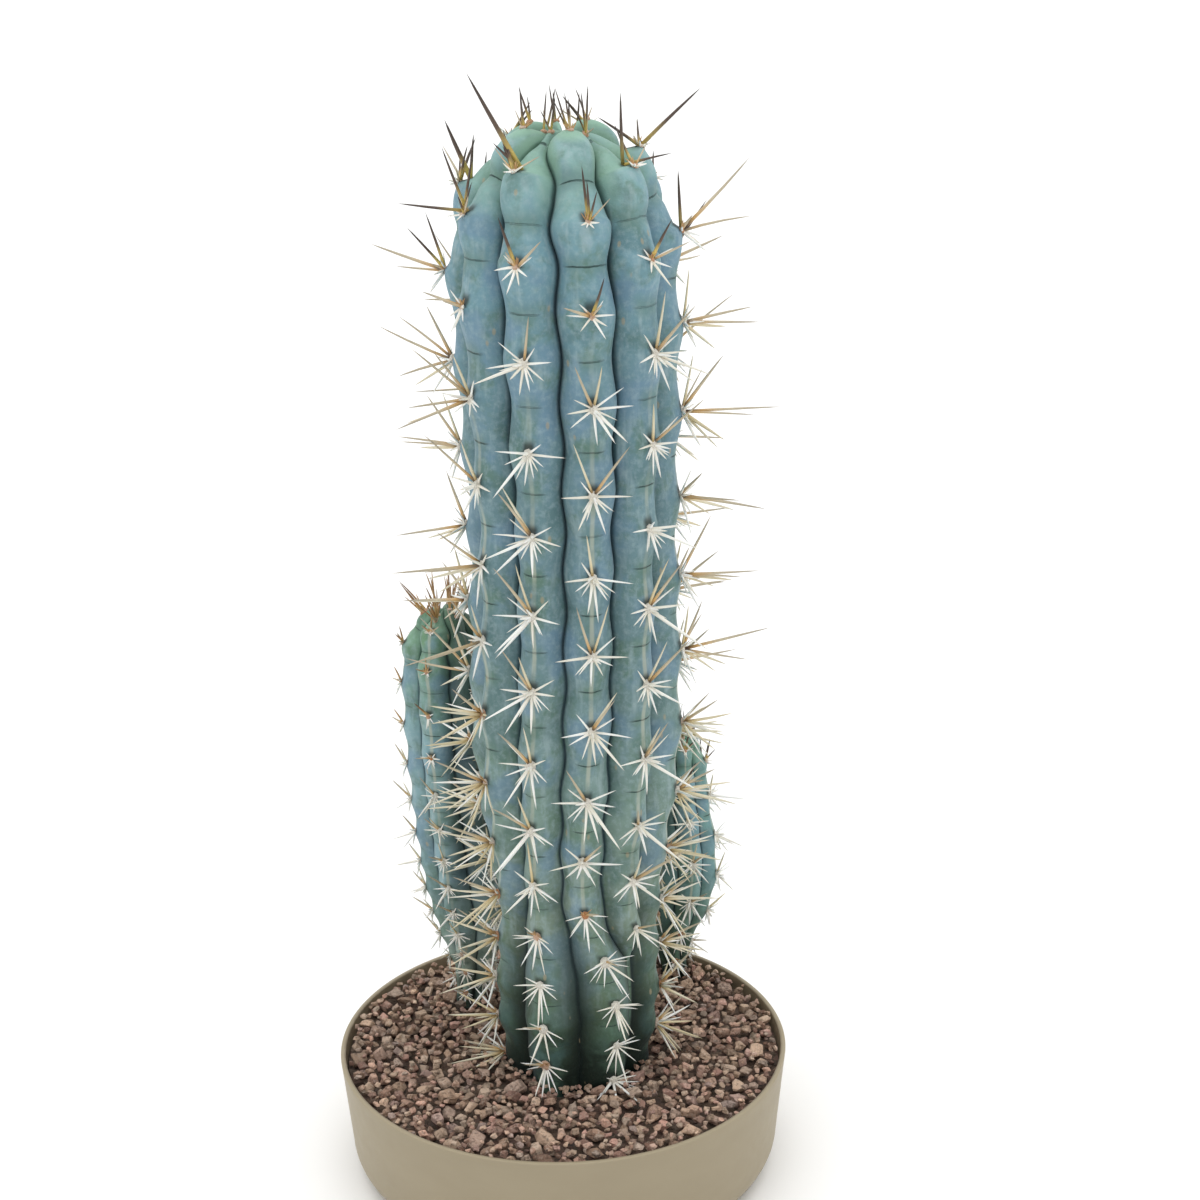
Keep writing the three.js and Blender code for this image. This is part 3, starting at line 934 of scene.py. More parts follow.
@dataclass(frozen=True)
class CrushedLava(Finish):
    """Crushed, screened scoria: dull and porous, pinkish brown with tan, maroon and grey bits."""

    name: str
    by_stone: bool  # whether the grit map picks the colour of each stone
    palette: tuple[str, ...] = (
        "#765b4e", "#a28874", "#ad9682", "#bb9684", "#98877a",
        "#c3a68e", "#8a6c60", "#a99684", "#b28b7d", "#97857c",
    )
    bit_mm: float = 4.5
    grain_mm: float = 1.4
    pore_mm: float = 0.8
    crag_mm: float = 2.6
    dust: str = "#c7bbae"
    gap_range: tuple[float, float] = (63.5, 68.0)  # painted shade in the gaps: heights of the darkest and of full colour

    def surface(self, add: AddNode, place: Socket) -> dict[str, Any]:
        """Colours each stone, dusts it, paints shade into the gaps and the craggy hollows, and breaks its
        crust open.
        """
        if self.by_stone:
            picks = add("UVMap", {"uv_map": "grit_map"})
        else:
            bits = add("TexVoronoi", inputs={"Vector": place, "Scale": per_metre(self.bit_mm)})
            picks = bits.node.outputs["Color"]
        tone, light, _ = add("SeparateXYZ", inputs={0: picks}).node.outputs
        last = len(self.palette) - 1
        stops = [(i / last, colour) for i, colour in enumerate(self.palette)]
        ground = add("ValToRGB", inputs={"Fac": tone}, stops=stops)
        grain = add("TexNoise", inputs=dict(zip(NOISE, (place, per_metre(self.grain_mm), 6.0))))
        crags = add("TexNoise", inputs=dict(zip(NOISE, (place, per_metre(self.crag_mm), 5.0, 0.65))))
        height = add("SeparateXYZ", inputs={0: place}).node.outputs["Z"]
        dust_and_shade_mask, sunk, hollow_shade = (
            add("MapRange", SMOOTH, dict(zip(RANGE, band)))
            for band in (
                (grain, 0.5, 0.75, 0.0, 0.4),
                (height, *metres(self.gap_range), 0.24, 1.0),  # painted shade, darkest deep between the stones
                (crags, 0.32, 0.52, 0.5, 1.06),  # painted shade in the hollows of a craggy crust
            )
        )
        colour = add("MixRGB", inputs={"Fac": dust_and_shade_mask, "Color1": ground, "Color2": linear(self.dust)})
        brightness = add("MapRange", inputs={"Value": light, "To Min": 0.8, "To Max": 1.48})
        for shade in (brightness, sunk, hollow_shade):
            colour = add("MixRGB", DARKEN, {"Fac": 1.0, "Color1": colour, "Color2": shade})
        pores = add("TexVoronoi", inputs={"Vector": place, "Scale": per_metre(self.pore_mm)})
        pits = add("MapRange", inputs=dict(zip(RANGE, (pores, 0.1, 0.45))))
        porous = add("Bump", inputs={"Strength": 0.6, "Distance": 0.0005, "Height": pits})
        craggy = {"Strength": 1.0, "Distance": 0.0016, "Height": crags, "Normal": porous}
        return {
            "Base Color": colour,
            "Roughness": 0.94,
            "Specular IOR Level": 0.25,
            "Normal": add("Bump", inputs=craggy),
        }


@dataclass(frozen=True)
class PottingSoil(Finish):
    """Dark peat soil with lighter mineral crumbs, matt all over."""

    name: str = "potting_soil_peat"
    peat: str = "#2c2018"
    crumb: str = "#6b5847"
    crumb_mm: float = 2.5

    def surface(self, add: AddNode, place: Socket) -> dict[str, Any]:
        """Mixes the crumbs into the peat."""
        crumbs = add("TexNoise", inputs=dict(zip(NOISE, (place, per_metre(self.crumb_mm), 8.0))))
        mask = add("MapRange", inputs=dict(zip(RANGE, (crumbs, 0.45, 0.75))))
        peat, crumb = linear(self.peat), linear(self.crumb)
        return {
            "Base Color": add("MixRGB", inputs={"Fac": mask, "Color1": peat, "Color2": crumb}),
            "Roughness": 1.0,
            "Normal": add("Bump", inputs={"Strength": 1.0, "Distance": 0.0015, "Height": crumbs}),
        }


@dataclass(frozen=True)
class MouldedPlastic(Finish):
    """Injection-moulded polypropylene in a warm stone beige, satin, with faint flow clouds, and patchy
    painted shade on the inside of the wall.
    """

    name: str = "polypropylene_moulded_satin"
    beige: str = "#a0947b"
    cloud: str = "#968a72"
    # dark brown of the painted shade on the inside of the wall
    dust: str = "#66584a"
    cloud_mm: float = 45.0
    smear_mm: float = 6.0
    grain_mm: float = 0.8
    rim_radius: float = 130.0
    rim_height: float = 72.0
    wall: float = 3.0
    taper: float = 5.0 / 52.0  # how much wider the wall gets per height
    inside_from: float = 0.6  # of the wall's thickness: where the painted shade of the inside begins
    inside_ease: float = 0.4  # over how much it sets in
    dusty_range: tuple[float, float] = (45.0, 60.0)  # no painted shade below the first height

    def surface(self, add: AddNode, place: Socket) -> dict[str, Any]:
        """Clouds the plastic, and paints patchy shade on the inside of the wall above the grit."""
        flat = add("Mapping", inputs={"Vector": place, "Scale": (1.0, 1.0, 2.5)})
        clouds, grain, smear = (
            add("TexNoise", inputs=dict(zip(NOISE, (spot, per_metre(size), detail))))
            for spot, size, detail in (
                (flat, self.cloud_mm, 3.0),
                (place, self.grain_mm, 2.0),
                (place, self.smear_mm, 5.0),
            )
        )
        beige, cloud = linear(self.beige), linear(self.cloud)
        colour = add("MixRGB", inputs={"Fac": clouds, "Color1": beige, "Color2": cloud})
        level_place = add("VectorMath", TIMES, {0: place, 1: (1.0, 1.0, 0.0)})
        reach = add("VectorMath", {"operation": "LENGTH"}, {0: level_place}).node.outputs["Value"]
        level = add("SeparateXYZ", inputs={0: place}).node.outputs["Z"]
        upright = add("Math", TIMES_PLUS, {0: level, 1: -self.taper, 2: reach})
        face = self.rim_radius - self.taper * self.rim_height - self.inside_from * self.wall
        inner = (upright, *metres((face - self.inside_ease, face + self.inside_ease)), 0.75, 0.0)
        inside = add("MapRange", SMOOTH, dict(zip(RANGE, inner)))
        high_up = add("MapRange", inputs=dict(zip(RANGE, (level, *metres(self.dusty_range)))))
        inside = add("Math", TIMES, {0: inside, 1: high_up})
        # patchy painted shade on the inside of the wall above the grit
        dust_and_shade_mask = add("Math", TIMES, {0: inside, 1: smear})
        dust = linear(self.dust)
        return {
            "Base Color": add("MixRGB", inputs={"Fac": dust_and_shade_mask, "Color1": colour, "Color2": dust}),
            "Roughness": add("MapRange", inputs={"Value": smear, "To Min": 0.4, "To Max": 0.56}),
            "IOR": 1.49,
            "Specular IOR Level": 0.4,
            "Normal": add("Bump", inputs={"Strength": 0.06, "Distance": 0.0002, "Height": grain}),
        }


@dataclass(frozen=True)
class PaperSweep(Finish):
    """Matt white studio paper."""

    name: str = "studio_paper_matt"
    white: str = "#f6f6f5"

    def surface(self, add: AddNode, place: Socket) -> dict[str, Any]:
        """Keeps the paper plain."""
        return {"Base Color": linear(self.white), "Roughness": 0.9}


# ---------------------------------------- spines


class SpineKind(Enum):
    """Kinds of spine, each with a finish of its own."""

    RADIAL = "radial"
    STRAW = "straw"
    CENTRAL = "central"
    CROWN = "crown"
    HAIR = "hair"


@dataclass(frozen=True)
class SpineHabit:
    """One spine of a typical areole: its direction on the skin and its size in millimetres."""

    kind: SpineKind
    across: float  # to the right, seen from outside
    along: float  # up the crest
    out: float
    length: float
    girth: float  # radius of the base
    chance: float = 1.0
    spread: float = 0.13
    either_side: bool = False  # whether it may lean to the other side as well
    straw_in_shade: bool = False  # whether it takes the darker straw horn, as painted shade, on the ribs that don't face the front


RADIAL, STRAW, CENTRAL, CROWN, HAIR = SpineKind


def star(*rows: tuple[Any, ...]) -> tuple[SpineHabit, ...]:
    """Turns rows of values into the habits of an areole's spines."""
    return tuple(SpineHabit(*row) for row in rows)


MIDDLE_STAR = star(
    (RADIAL, -1.0, 0.02, 0.28, 17.5, 0.78, 0.96, 0.08),
    (RADIAL, 1.0, -0.02, 0.28, 18, 0.78, 0.96, 0.08),
    (RADIAL, -0.72, 0.62, 0.4, 15, 0.65, 0.8),
    (RADIAL, 0.72, 0.6, 0.4, 16, 0.65, 0.85),
    (RADIAL, -0.85, -0.5, 0.3, 13, 0.65, 0.85),
    (RADIAL, 0.85, -0.45, 0.3, 13, 0.65, 0.85),
    (RADIAL, 0.12, -1.0, 0.28, 19, 0.85, 0.95),
    (RADIAL, -0.3, -0.9, 0.4, 14, 0.7, 0.7),
    (RADIAL, 0.45, -0.85, 0.35, 12, 0.7, 0.6),
    (STRAW, 0.2, 1.0, 0.4, 26, 0.85, 0.58, 0.2, True),
    (CENTRAL, 0.42, 0.8, 0.7, 33, 0.92, 0.6, 0.14, True),
    (RADIAL, 0.5, -0.55, 0.9, 33, 1.0, 0.6, 0.14, True, True),
    (RADIAL, 0.4, -0.68, 0.75, 25, 0.9, 0.6, 0.12, True, True),
    (RADIAL, -0.65, -0.75, 0.35, 11, 0.6, 0.6),
    (RADIAL, 0.65, -0.75, 0.35, 11, 0.6, 0.6),
    (RADIAL, 0.25, -0.2, 1.0, 9, 0.9, 0.8, 0.3, True),
    (RADIAL, -0.3, 0.25, 1.0, 8, 0.85, 0.8, 0.3, True),
    (RADIAL, 0.1, -0.5, 0.9, 10, 0.8, 0.7, 0.3, True),
)

SIDE_STAR = MIDDLE_STAR + star(
    (CENTRAL, 0.2, -0.12, 1.0, 46, 0.92, 0.9, 0.16, True),
    (CENTRAL, 0.3, 0.65, 0.9, 40, 0.88, 0.75, 0.14, True),
    (CENTRAL, 0.35, -0.2, 1.0, 36, 0.85, 0.6, 0.16, True),
)

DENSE_STAR = star(
    (RADIAL, -0.95, 0.2, 0.55, 21, 0.7, 1.0, 0.22),
    (STRAW, 0.95, 0.2, 0.55, 21, 0.7, 1.0, 0.22),
    (STRAW, -0.85, -0.35, 0.6, 23, 0.7, 1.0, 0.22),
    (RADIAL, 0.85, -0.35, 0.6, 23, 0.7, 1.0, 0.22),
    (RADIAL, -0.45, -0.8, 0.6, 24, 0.7, 1.0, 0.22),
    (STRAW, 0.45, -0.8, 0.6, 24, 0.7, 1.0, 0.22),
    (RADIAL, 0.05, -1.0, 0.5, 22, 0.7, 1.0, 0.22),
    (STRAW, -0.3, 0.05, 0.95, 27, 0.85, 0.9, 0.2),
    (STRAW, 0.35, 0.0, 0.95, 26, 0.85, 0.9, 0.2),
    (STRAW, -0.15, -0.5, 0.9, 25, 0.85, 0.8, 0.2),
    (RADIAL, -0.6, 0.7, 0.55, 15, 0.65, 0.8),
    (RADIAL, 0.6, 0.7, 0.55, 15, 0.65, 0.8),
    (RADIAL, 0.3, -0.3, 1.0, 30, 0.95, 0.95, 0.2, True, True),
    (RADIAL, 0.6, 0.1, 1.0, 25, 0.85, 0.8, 0.2, True),
    (CENTRAL, 0.3, 0.5, 0.9, 28, 0.9, 0.9, 0.2, True),
)

LOW_STAR = star(
    (RADIAL, -1.0, 0.1, 0.4, 13, 0.58, 0.95, 0.18),
    (RADIAL, 1.0, 0.1, 0.4, 14, 0.58, 0.95, 0.18),
    (RADIAL, -0.9, -0.25, 0.4, 12, 0.54, 0.9, 0.24),
    (RADIAL, 0.9, -0.3, 0.4, 13, 0.54, 0.9, 0.24),
    (RADIAL, -0.7, -0.65, 0.4, 12, 0.54, 0.9, 0.24),
    (RADIAL, 0.7, -0.65, 0.4, 14, 0.54, 0.9, 0.24),
    (RADIAL, -0.35, -0.9, 0.4, 15, 0.64, 0.9, 0.2),
    (RADIAL, 0.3, -0.9, 0.4, 18, 0.64, 0.95, 0.2),
    (RADIAL, 0.05, -1.0, 0.6, 21, 0.76, 0.9, 0.2),
    (RADIAL, -0.6, 0.5, 0.5, 11, 0.54, 0.8, 0.24),
    (RADIAL, 0.6, 0.5, 0.5, 12, 0.54, 0.8, 0.24),
    (RADIAL, 0.2, -0.6, 1.0, 22, 0.76, 0.7, 0.2, True),
    (CENTRAL, 0.4, 0.45, 0.9, 17, 0.74, 0.35, 0.2, True),
)

SHOULDER_STAR = star(
    (CROWN, 0.3, 0.85, 0.55, 27, 0.98, 0.85, 0.14, True),
    (CENTRAL, 0.85, 0.15, 0.6, 20, 0.85, 0.7, 0.14, True),
    (RADIAL, -0.95, 0.1, 0.35, 12, 0.75, 0.9),
    (RADIAL, 0.95, 0.1, 0.35, 12, 0.75, 0.9),
    (RADIAL, -0.7, -0.65, 0.35, 10, 0.7, 0.85),
    (RADIAL, 0.7, -0.65, 0.35, 10, 0.7, 0.85),
    (RADIAL, -0.2, -0.95, 0.3, 15, 0.85, 0.8),
    (RADIAL, 0.3, -0.9, 0.4, 11, 0.75, 0.6),
    (RADIAL, -0.7, 0.6, 0.4, 9, 0.65, 0.7),
    (RADIAL, 0.7, 0.6, 0.4, 9, 0.65, 0.7),
    (CENTRAL, 0.1, 0.3, 1.0, 10, 0.85, 0.7, 0.3, True),
)

SHOULDER_SIDE_STAR = SHOULDER_STAR + star(
    (CENTRAL, 0.2, 0.05, 1.0, 44, 0.95, 0.95, 0.13, True),
    (CROWN, 0.35, 0.6, 0.9, 37, 0.9, 0.5, 0.14, True),
    (CENTRAL, 0.5, -0.35, 0.9, 32, 0.85, 0.6, 0.14, True),
)

CROWN_TUFT = star(
    (CROWN, 0.15, 0.8, 0.6, 24, 0.9, 1.0, 0.2, True),
    (CROWN, -0.35, 0.6, 0.7, 19, 0.78, 0.85, 0.2, True),
    (CROWN, 0.5, 0.35, 0.8, 16, 0.7, 0.7, 0.2, True),
    (CENTRAL, -0.75, 0.3, 0.6, 15, 0.62, 0.8, 0.15),
    (CENTRAL, 0.75, 0.3, 0.6, 15, 0.62, 0.8, 0.15),
    (RADIAL, -0.7, -0.5, 0.5, 7, 0.61, 0.8),
    (RADIAL, 0.7, -0.5, 0.5, 7, 0.61, 0.8),
    (RADIAL, -0.3, -0.9, 0.4, 5, 0.6, 0.8),
    (RADIAL, 0.35, -0.9, 0.4, 5, 0.6, 0.8),
    (RADIAL, -0.95, 0.0, 0.5, 7, 0.6, 0.7),
    (RADIAL, 0.95, 0.0, 0.5, 7, 0.6, 0.7),
)

HAIRS = star(*((HAIR, 0.25 * number, 0.75, 0.8, 4.6, 0.42, 0.9, 0.35) for number in range(-4, 5)))

APEX_TUFT = star(
    (CROWN, 0.1, 0.0, 1.0, 21, 0.66, 1.0, 0.16, True),
    (CROWN, 0.3, 0.2, 1.0, 15, 0.58, 0.8, 0.2, True),
    (CENTRAL, -0.3, -0.3, 1.0, 9, 0.5, 0.8, 0.2, True),
)


@dataclass(frozen=True)
class LeadingSpine:
    """One of the long spines that stand out round the tip, by its areole and its direction."""

    rib: int
    height: float  # of its areole
    direction: tuple[float, float, float]
    length: float
    girth: float


LEADING_SPINES = (
    LeadingSpine(0, 588, (-0.48, -0.1, 0.87), 56, 1.5),
    LeadingSpine(0, 588, (-0.68, -0.3, 0.66), 22, 1.0),
    LeadingSpine(8, 577, (-0.4, -0.05, 0.9), 34, 1.5),
    LeadingSpine(8, 577, (0.05, 0.0, 1.0), 24, 1.0),
    LeadingSpine(2, 588, (-0.05, -0.1, 1.0), 38, 1.05),
    LeadingSpine(2, 588, (0.92, -0.2, 0.28), 27, 0.85),
    LeadingSpine(3, 590, (0.72, 0.1, 0.69), 43, 1.15),
    LeadingSpine(9, 565.5, (-0.35, -0.1, 0.93), 36, 0.95),
    LeadingSpine(9, 565.5, (-0.97, -0.15, 0.12), 36, 0.95),
)


@dataclass(frozen=True)
class Spine:
    """One grown spine, in millimetres."""

    root: Vector
    direction: Vector
    length: float
    girth: float
    bend: float
    tone: float


class CopyMesh:
    """Gathers moved copies of small templates in one mesh, batch by batch so that it stays quick."""

    batch = 48

    def __init__(self, map_name: str) -> None:
        """Starts empty.

        Args:
            map_name: map of the templates that each copy writes its own values to.
        """
        self.map_name = map_name
        self.total = bmesh.new()
        self.part = bmesh.new()
        self.waiting = 0

    def add(
        self,
        template: bpy.types.Mesh,
        move: Callable[[Vector], Vector],
        across: float,
        along: float | None = None,
    ) -> None:
        """Adds one copy.

        Args:
            template: mesh to copy.
            move: gives the new place of each vertex.
            across: the copy's first map value.
            along: its second map value, or none to keep the template's own.
        """
        verts, faces = len(self.part.verts), len(self.part.faces)
        self.part.from_mesh(template)
        self.part.verts.ensure_lookup_table()
        self.part.faces.ensure_lookup_table()
        layer = self.part.loops.layers.uv[self.map_name]
        for vert in self.part.verts[verts:]:
            vert.co = move(vert.co)
        for face in self.part.faces[faces:]:
            for loop in face.loops:
                kept = loop[layer].uv.y if along is None else along
                loop[layer].uv = (across, kept)
        self.waiting += 1
        if self.waiting == self.batch:
            self._flush()

    def _flush(self) -> None:
        """Moves the finished batch into the whole."""
        spare = bpy.data.meshes.new("batch")
        self.part.to_mesh(spare)
        self.part.free()
        self.total.from_mesh(spare)
        bpy.data.meshes.remove(spare)
        self.part = bmesh.new()
        self.waiting = 0

    def build(self, name: str, smooth: bool = True) -> bpy.types.Mesh:
        """Hands over the finished mesh under a name."""
        self._flush()
        self.part.free()
        return finish_mesh(name, self.total, smooth)


@dataclass(frozen=True)
class SpineTemplate:
    """A unit spine along +Z that tapers to a point, with its length in the map."""

    sides: int = 5
    profile: tuple[tuple[float, float], ...] = (  # height and girth
        (0.3, 0.92),
        (0.62, 0.72),
        (0.86, 0.42),
        (1.0, 0.06),
    )

    def build(self) -> bpy.types.Mesh:
        """Pulls a small disc up into the spine."""
        bm = bmesh.new()
        layer = bm.loops.layers.uv.new("spine_map")
        disc = bmesh.ops.create_circle(bm, cap_ends=True, radius=1.0, segments=self.sides)
        verts = disc["verts"]
        edges = list({edge for vert in verts for edge in vert.link_edges})
        height, girth = 0.0, 1.0
        for next_height, next_girth in self.profile:
            grown = bmesh.ops.extrude_edge_only(bm, edges=edges)["geom"]
            verts = [item for item in grown if isinstance(item, bmesh.types.BMVert)]
            edges = [item for item in grown if isinstance(item, bmesh.types.BMEdge)]
            edges = [edge for edge in edges if all(vert in verts for vert in edge.verts)]
            bmesh.ops.translate(bm, vec=(0.0, 0.0, next_height - height), verts=verts)
            ratio = next_girth / girth
            bmesh.ops.scale(bm, vec=(ratio, ratio, 1.0), verts=verts)
            height, girth = next_height, next_girth
        bmesh.ops.pointmerge(bm, verts=verts, merge_co=(0.0, 0.0, 1.0))
        for face in bm.faces:
            for loop in face.loops:
                loop[layer].uv = (0.0, loop.vert.co.z)
        return finish_mesh("spine_template", bm)


@dataclass(frozen=True)
class CushionTemplate:
    """A unit cushion of wool."""

    around: int = 8
    upwards: int = 5

    def build(self) -> bpy.types.Mesh:
        """Makes the rounded cushion."""
        bm = bmesh.new()
        bm.loops.layers.uv.new("spine_map")
        bmesh.ops.create_uvsphere(bm, u_segments=self.around, v_segments=self.upwards, radius=1.0)
        return finish_mesh("cushion_template", bm)


class Bristle:
    """The spines and the wool of one stem, gathered by their finish."""

    def __init__(self) -> None:
        """Starts with no spine."""
        self.spine = SpineTemplate().build()
        self.cushion = CushionTemplate().build()
        self.spines: defaultdict[SpineKind, CopyMesh] = defaultdict(partial(CopyMesh, "spine_map"))
        self.felt = CopyMesh("spine_map")

    def add_spine(self, kind: SpineKind, spine: Spine) -> None:
        """Adds one spine of a kind."""
        turn = Vector((0.0, 0.0, 1.0)).rotation_difference(spine.direction)

        def move(co: Vector) -> Vector:
            """Stretches, bends and roots a point of the template."""
            sway = co.x * spine.girth + spine.bend * co.z * co.z
            return (spine.root + turn @ Vector((sway, co.y * spine.girth, co.z * spine.length))) * MM

        self.spines[kind].add(self.spine, move, spine.tone)

    def add_cushion(self, place: Matrix, size: Vector, rust: float) -> None:
        """Adds one cushion.

        Args:
            place: turn and place of the cushion in millimetres; its local Z points outwards.
            size: half sizes across, along and outwards in millimetres.
            rust: how orange brown it is, from 0 to 1.
        """
        self.felt.add(self.cushion, lambda co: (place @ (co * size)) * MM, rust)


# ---------------------------------------- stems


@dataclass
class RibbedStem:
    """A stem with its skin, areole cushions and spines. Lengths are in millimetres."""

    plan: StemPlan
    skin: WaxySkin
    seed: int
    side_steps: int = 12  # columns of faces on each side of a crest
    side_crowding: float = 1.5  # above one, the columns stand closer together towards the grooves
    row_steps: int = 22  # rings of faces between two areole rows
    row_crowding: float = 0.6  # up to one: how much closer the rings are at areoles and creases
    body_margin: tuple[float, float] = (3.0, 1.0)  # what the even rings keep off foot and shoulder
    cap_steps: int = 44
    spine_scale: float = 1.0  # against the spines of the tall stem
    low_below: float = 190.0  # areoles below this height have short, pale stars
    dense_below: float = 300.0  # away from the front, areoles below this height have dense stars
    shoulder_above: float = 510.0
    crown_above: float = 560.0
    apex_below: float = 5.0  # areoles this near to the top have the tuft of the tip
    front_ribs: tuple[int, ...] = (0, 1, 2)
    grit_top: float = 69.0
    bare_tip: float = 2.0  # no areole of a row stands nearer to the top
    apex_tufts: int = 10
    tuft_scale: float = 1.0  # of the spines of the tip
    tuft_below: float = 8.0  # what counts as the tip for that, from the top
    tuft_reach: float = 0.045  # how far down the rounded tip its tufts stand, of the tip's height
    cushion: tuple[float, float, float] = (2.9, 3.3, 1.7)  # half sizes across, along and outwards
    young_cushion: float = 0.72  # against a grown one
    tuft_cushion: tuple[float, float, float] = (2.0, 2.0, 1.4)
    rusty_chance: float = 0.7  # of the old cushions near the foot
    root_depth: float = 1.2  # how deep a spine sits in its cushion
    root_spread: float = 1.1  # how far from the middle of its areole it comes out
    sway: float = 0.035  # how much spines bend, of their length
    leaders: tuple[LeadingSpine, ...] = ()

    def ring_heights(self) -> np.ndarray:
        """Heights of the rings of faces, closer together at areoles and creases."""
        form = StemForm(self.plan)
        low, high = self.plan.foot + self.body_margin[0], self.plan.shoulder - self.body_margin[1]
        first, last = form.row_at(np.array([low, high]))
        steps = int((last - first) * self.row_steps)
        even = np.linspace(first, last, steps)
        halves = 2.0 * FULL_TURN  # two waves for each row
        body = form.height_of(even - self.row_crowding * np.sin(halves * even) / halves)
        tip = self.plan.top - self.plan.shoulder
        quarter = np.linspace(0.0, 0.5 * math.pi, self.cap_steps, endpoint=False)
        return np.concatenate([[self.plan.foot], body, self.plan.shoulder + tip * np.sin(quarter)])

    def side_of(self, along: np.ndarray) -> np.ndarray:
        """Turns an even way over a rib, from -1 to 1, into sides that crowd towards the grooves."""
        return np.sign(along) * (1.0 - (1.0 - np.abs(along)) ** self.side_crowding)

    def build_skin(self, form: StemForm) -> bpy.types.Mesh:
        """Rolls a plain sheet into a closed tube and moves its vertices onto the ribbed surface.

        Args:
            form: the surface.

        Returns:
            The skin, with its rib map.
        """
        plan = self.plan
        rings = self.ring_heights()
        per_rib = 2 * self.side_steps
        columns = per_rib * len(plan.ribs)
        outline = [(0.0, plan.foot), *((1.0, z) for z in rings), (0.0, plan.top)]
        bm = bmesh.new()
        sheet = bmesh.ops.create_grid(bm, x_segments=columns, y_segments=len(outline) - 1, size=1.0)
        for vert in sheet["verts"]:
            turn = 0.5 * FULL_TURN * (vert.co.x + 1.0)
            radius, z = outline[round(0.5 * (vert.co.y + 1.0) * (len(outline) - 1))]
            vert.co = (radius * math.cos(turn), radius * math.sin(turn), z)
        bmesh.ops.remove_doubles(bm, verts=bm.verts, dist=1e-5)
        mesh = finish_mesh(plan.name, bm)

        tube = np.empty(3 * len(mesh.vertices))
        mesh.vertices.foreach_get("co", tube)
        tube = tube.reshape(-1, 3)
        on_axis = np.hypot(tube[:, 0], tube[:, 1]) < 0.5
        angle = np.arctan2(tube[:, 1], tube[:, 0])
        column = np.round(angle / FULL_TURN * columns).astype(int) % columns
        side = self.side_of((column % per_rib) / self.side_steps - 1.0)
        moved = form.point(column // per_rib, side, tube[:, 2])
        moved[on_axis, 0] = form.centre(tube[on_axis, 2])
        moved[on_axis, 1] = plan.depth_y
        self._map_ribs(mesh, form, tube, column, on_axis)
        mesh.vertices.foreach_set("co", (moved * MM).ravel())
        mesh.update()
        return mesh

    def _map_ribs(
        self,
        mesh: bpy.types.Mesh,
        form: StemForm,
        tube: np.ndarray,
        column: np.ndarray,
        on_axis: np.ndarray,
    ) -> None:
        """Writes the rib map: rib number and side across, areole rows upwards.

        Args:
            mesh: the skin.
            form: its surface.
            tube: vertices of the plain tube.
            column: column of each vertex.
            on_axis: which vertices are poles.
        """
        per_rib = 2 * self.side_steps
        columns = per_rib * len(self.plan.ribs)
        loops = len(mesh.loops)
        vertex = np.empty(loops, int)
        mesh.loops.foreach_get("vertex_index", vertex)
        starts = np.empty(len(mesh.polygons), int)
        sizes = np.empty(len(mesh.polygons), int)
        mesh.polygons.foreach_get("loop_start", starts)
        mesh.polygons.foreach_get("loop_total", sizes)
        face = np.repeat(np.arange(len(starts)), sizes)
        order = np.concatenate([np.arange(s, s + n) for s, n in zip(starts, sizes)])
        vertex = vertex[order]
        here = column[vertex].astype(float)
        pole = on_axis[vertex]
        low = np.full(len(starts), np.inf)
        high = np.full(len(starts), -np.inf)
        np.minimum.at(low, face[~pole], here[~pole])
        np.maximum.at(high, face[~pole], here[~pole])
        # A face over the seam runs on past the last column, and a pole lies halfway over its face.
        seam = high - low > 0.5 * columns
        here = np.where(seam[face] & (here < 0.5 * columns), here + columns, here)
        first = np.where(seam, columns - 1.0, low)
        here = np.where(pole, first[face] + 0.5, here)
        rib = np.floor(first / per_rib).astype(int)[face]
        side = self.side_of((here - rib * per_rib) / self.side_steps - 1.0)
        # Whole numbers would fall to the next rib, and no row may be negative.
        u = rib + 0.5 * (np.clip(side, -0.999, 0.999) + 1.0)
        v = form.row_at(tube[vertex, 2]) + self.plan.row_offsets[rib] + 3.0
        values = np.empty((loops, 2))
        values[order] = np.stack([u, v], axis=1)
        layer = mesh.uv_layers.new(name="rib_map")
        layer.data.foreach_set("uv", values.ravel())

    def areoles(self, form: StemForm) -> list[tuple[int, float]]:
        """Lists the areoles above the grit.

        Args:
            form: surface of the stem.

        Returns:
            Rib number and height of each.
        """
        plan = self.plan
        found = []
        for index, rib in enumerate(plan.ribs):
            rows = np.arange(-plan.row_offsets[index] % 1.0, len(plan.rows) - 0.7, 1.0)
            for z in form.height_of(rows):
                faded = rib.fades_at is not None and z < rib.fades_at - 2.0
                if self.grit_top < z < plan.top - self.bare_tip and not faded:
                    found.append((index, float(z)))
        return found

    def grow_spine(
        self, habit: SpineHabit, spot: Vector, axes: tuple[Vector, Vector, Vector], dice: random.Random
    ) -> Spine:
        """Grows one spine of an areole by its habit.

        Args:
            habit: the typical spine.
            spot: place of the areole.
            axes: directions to the right, up the crest and outwards.
            dice: source of chance.

        Returns:
            The spine, kept clear of the grit.
        """
        right, up, out = axes
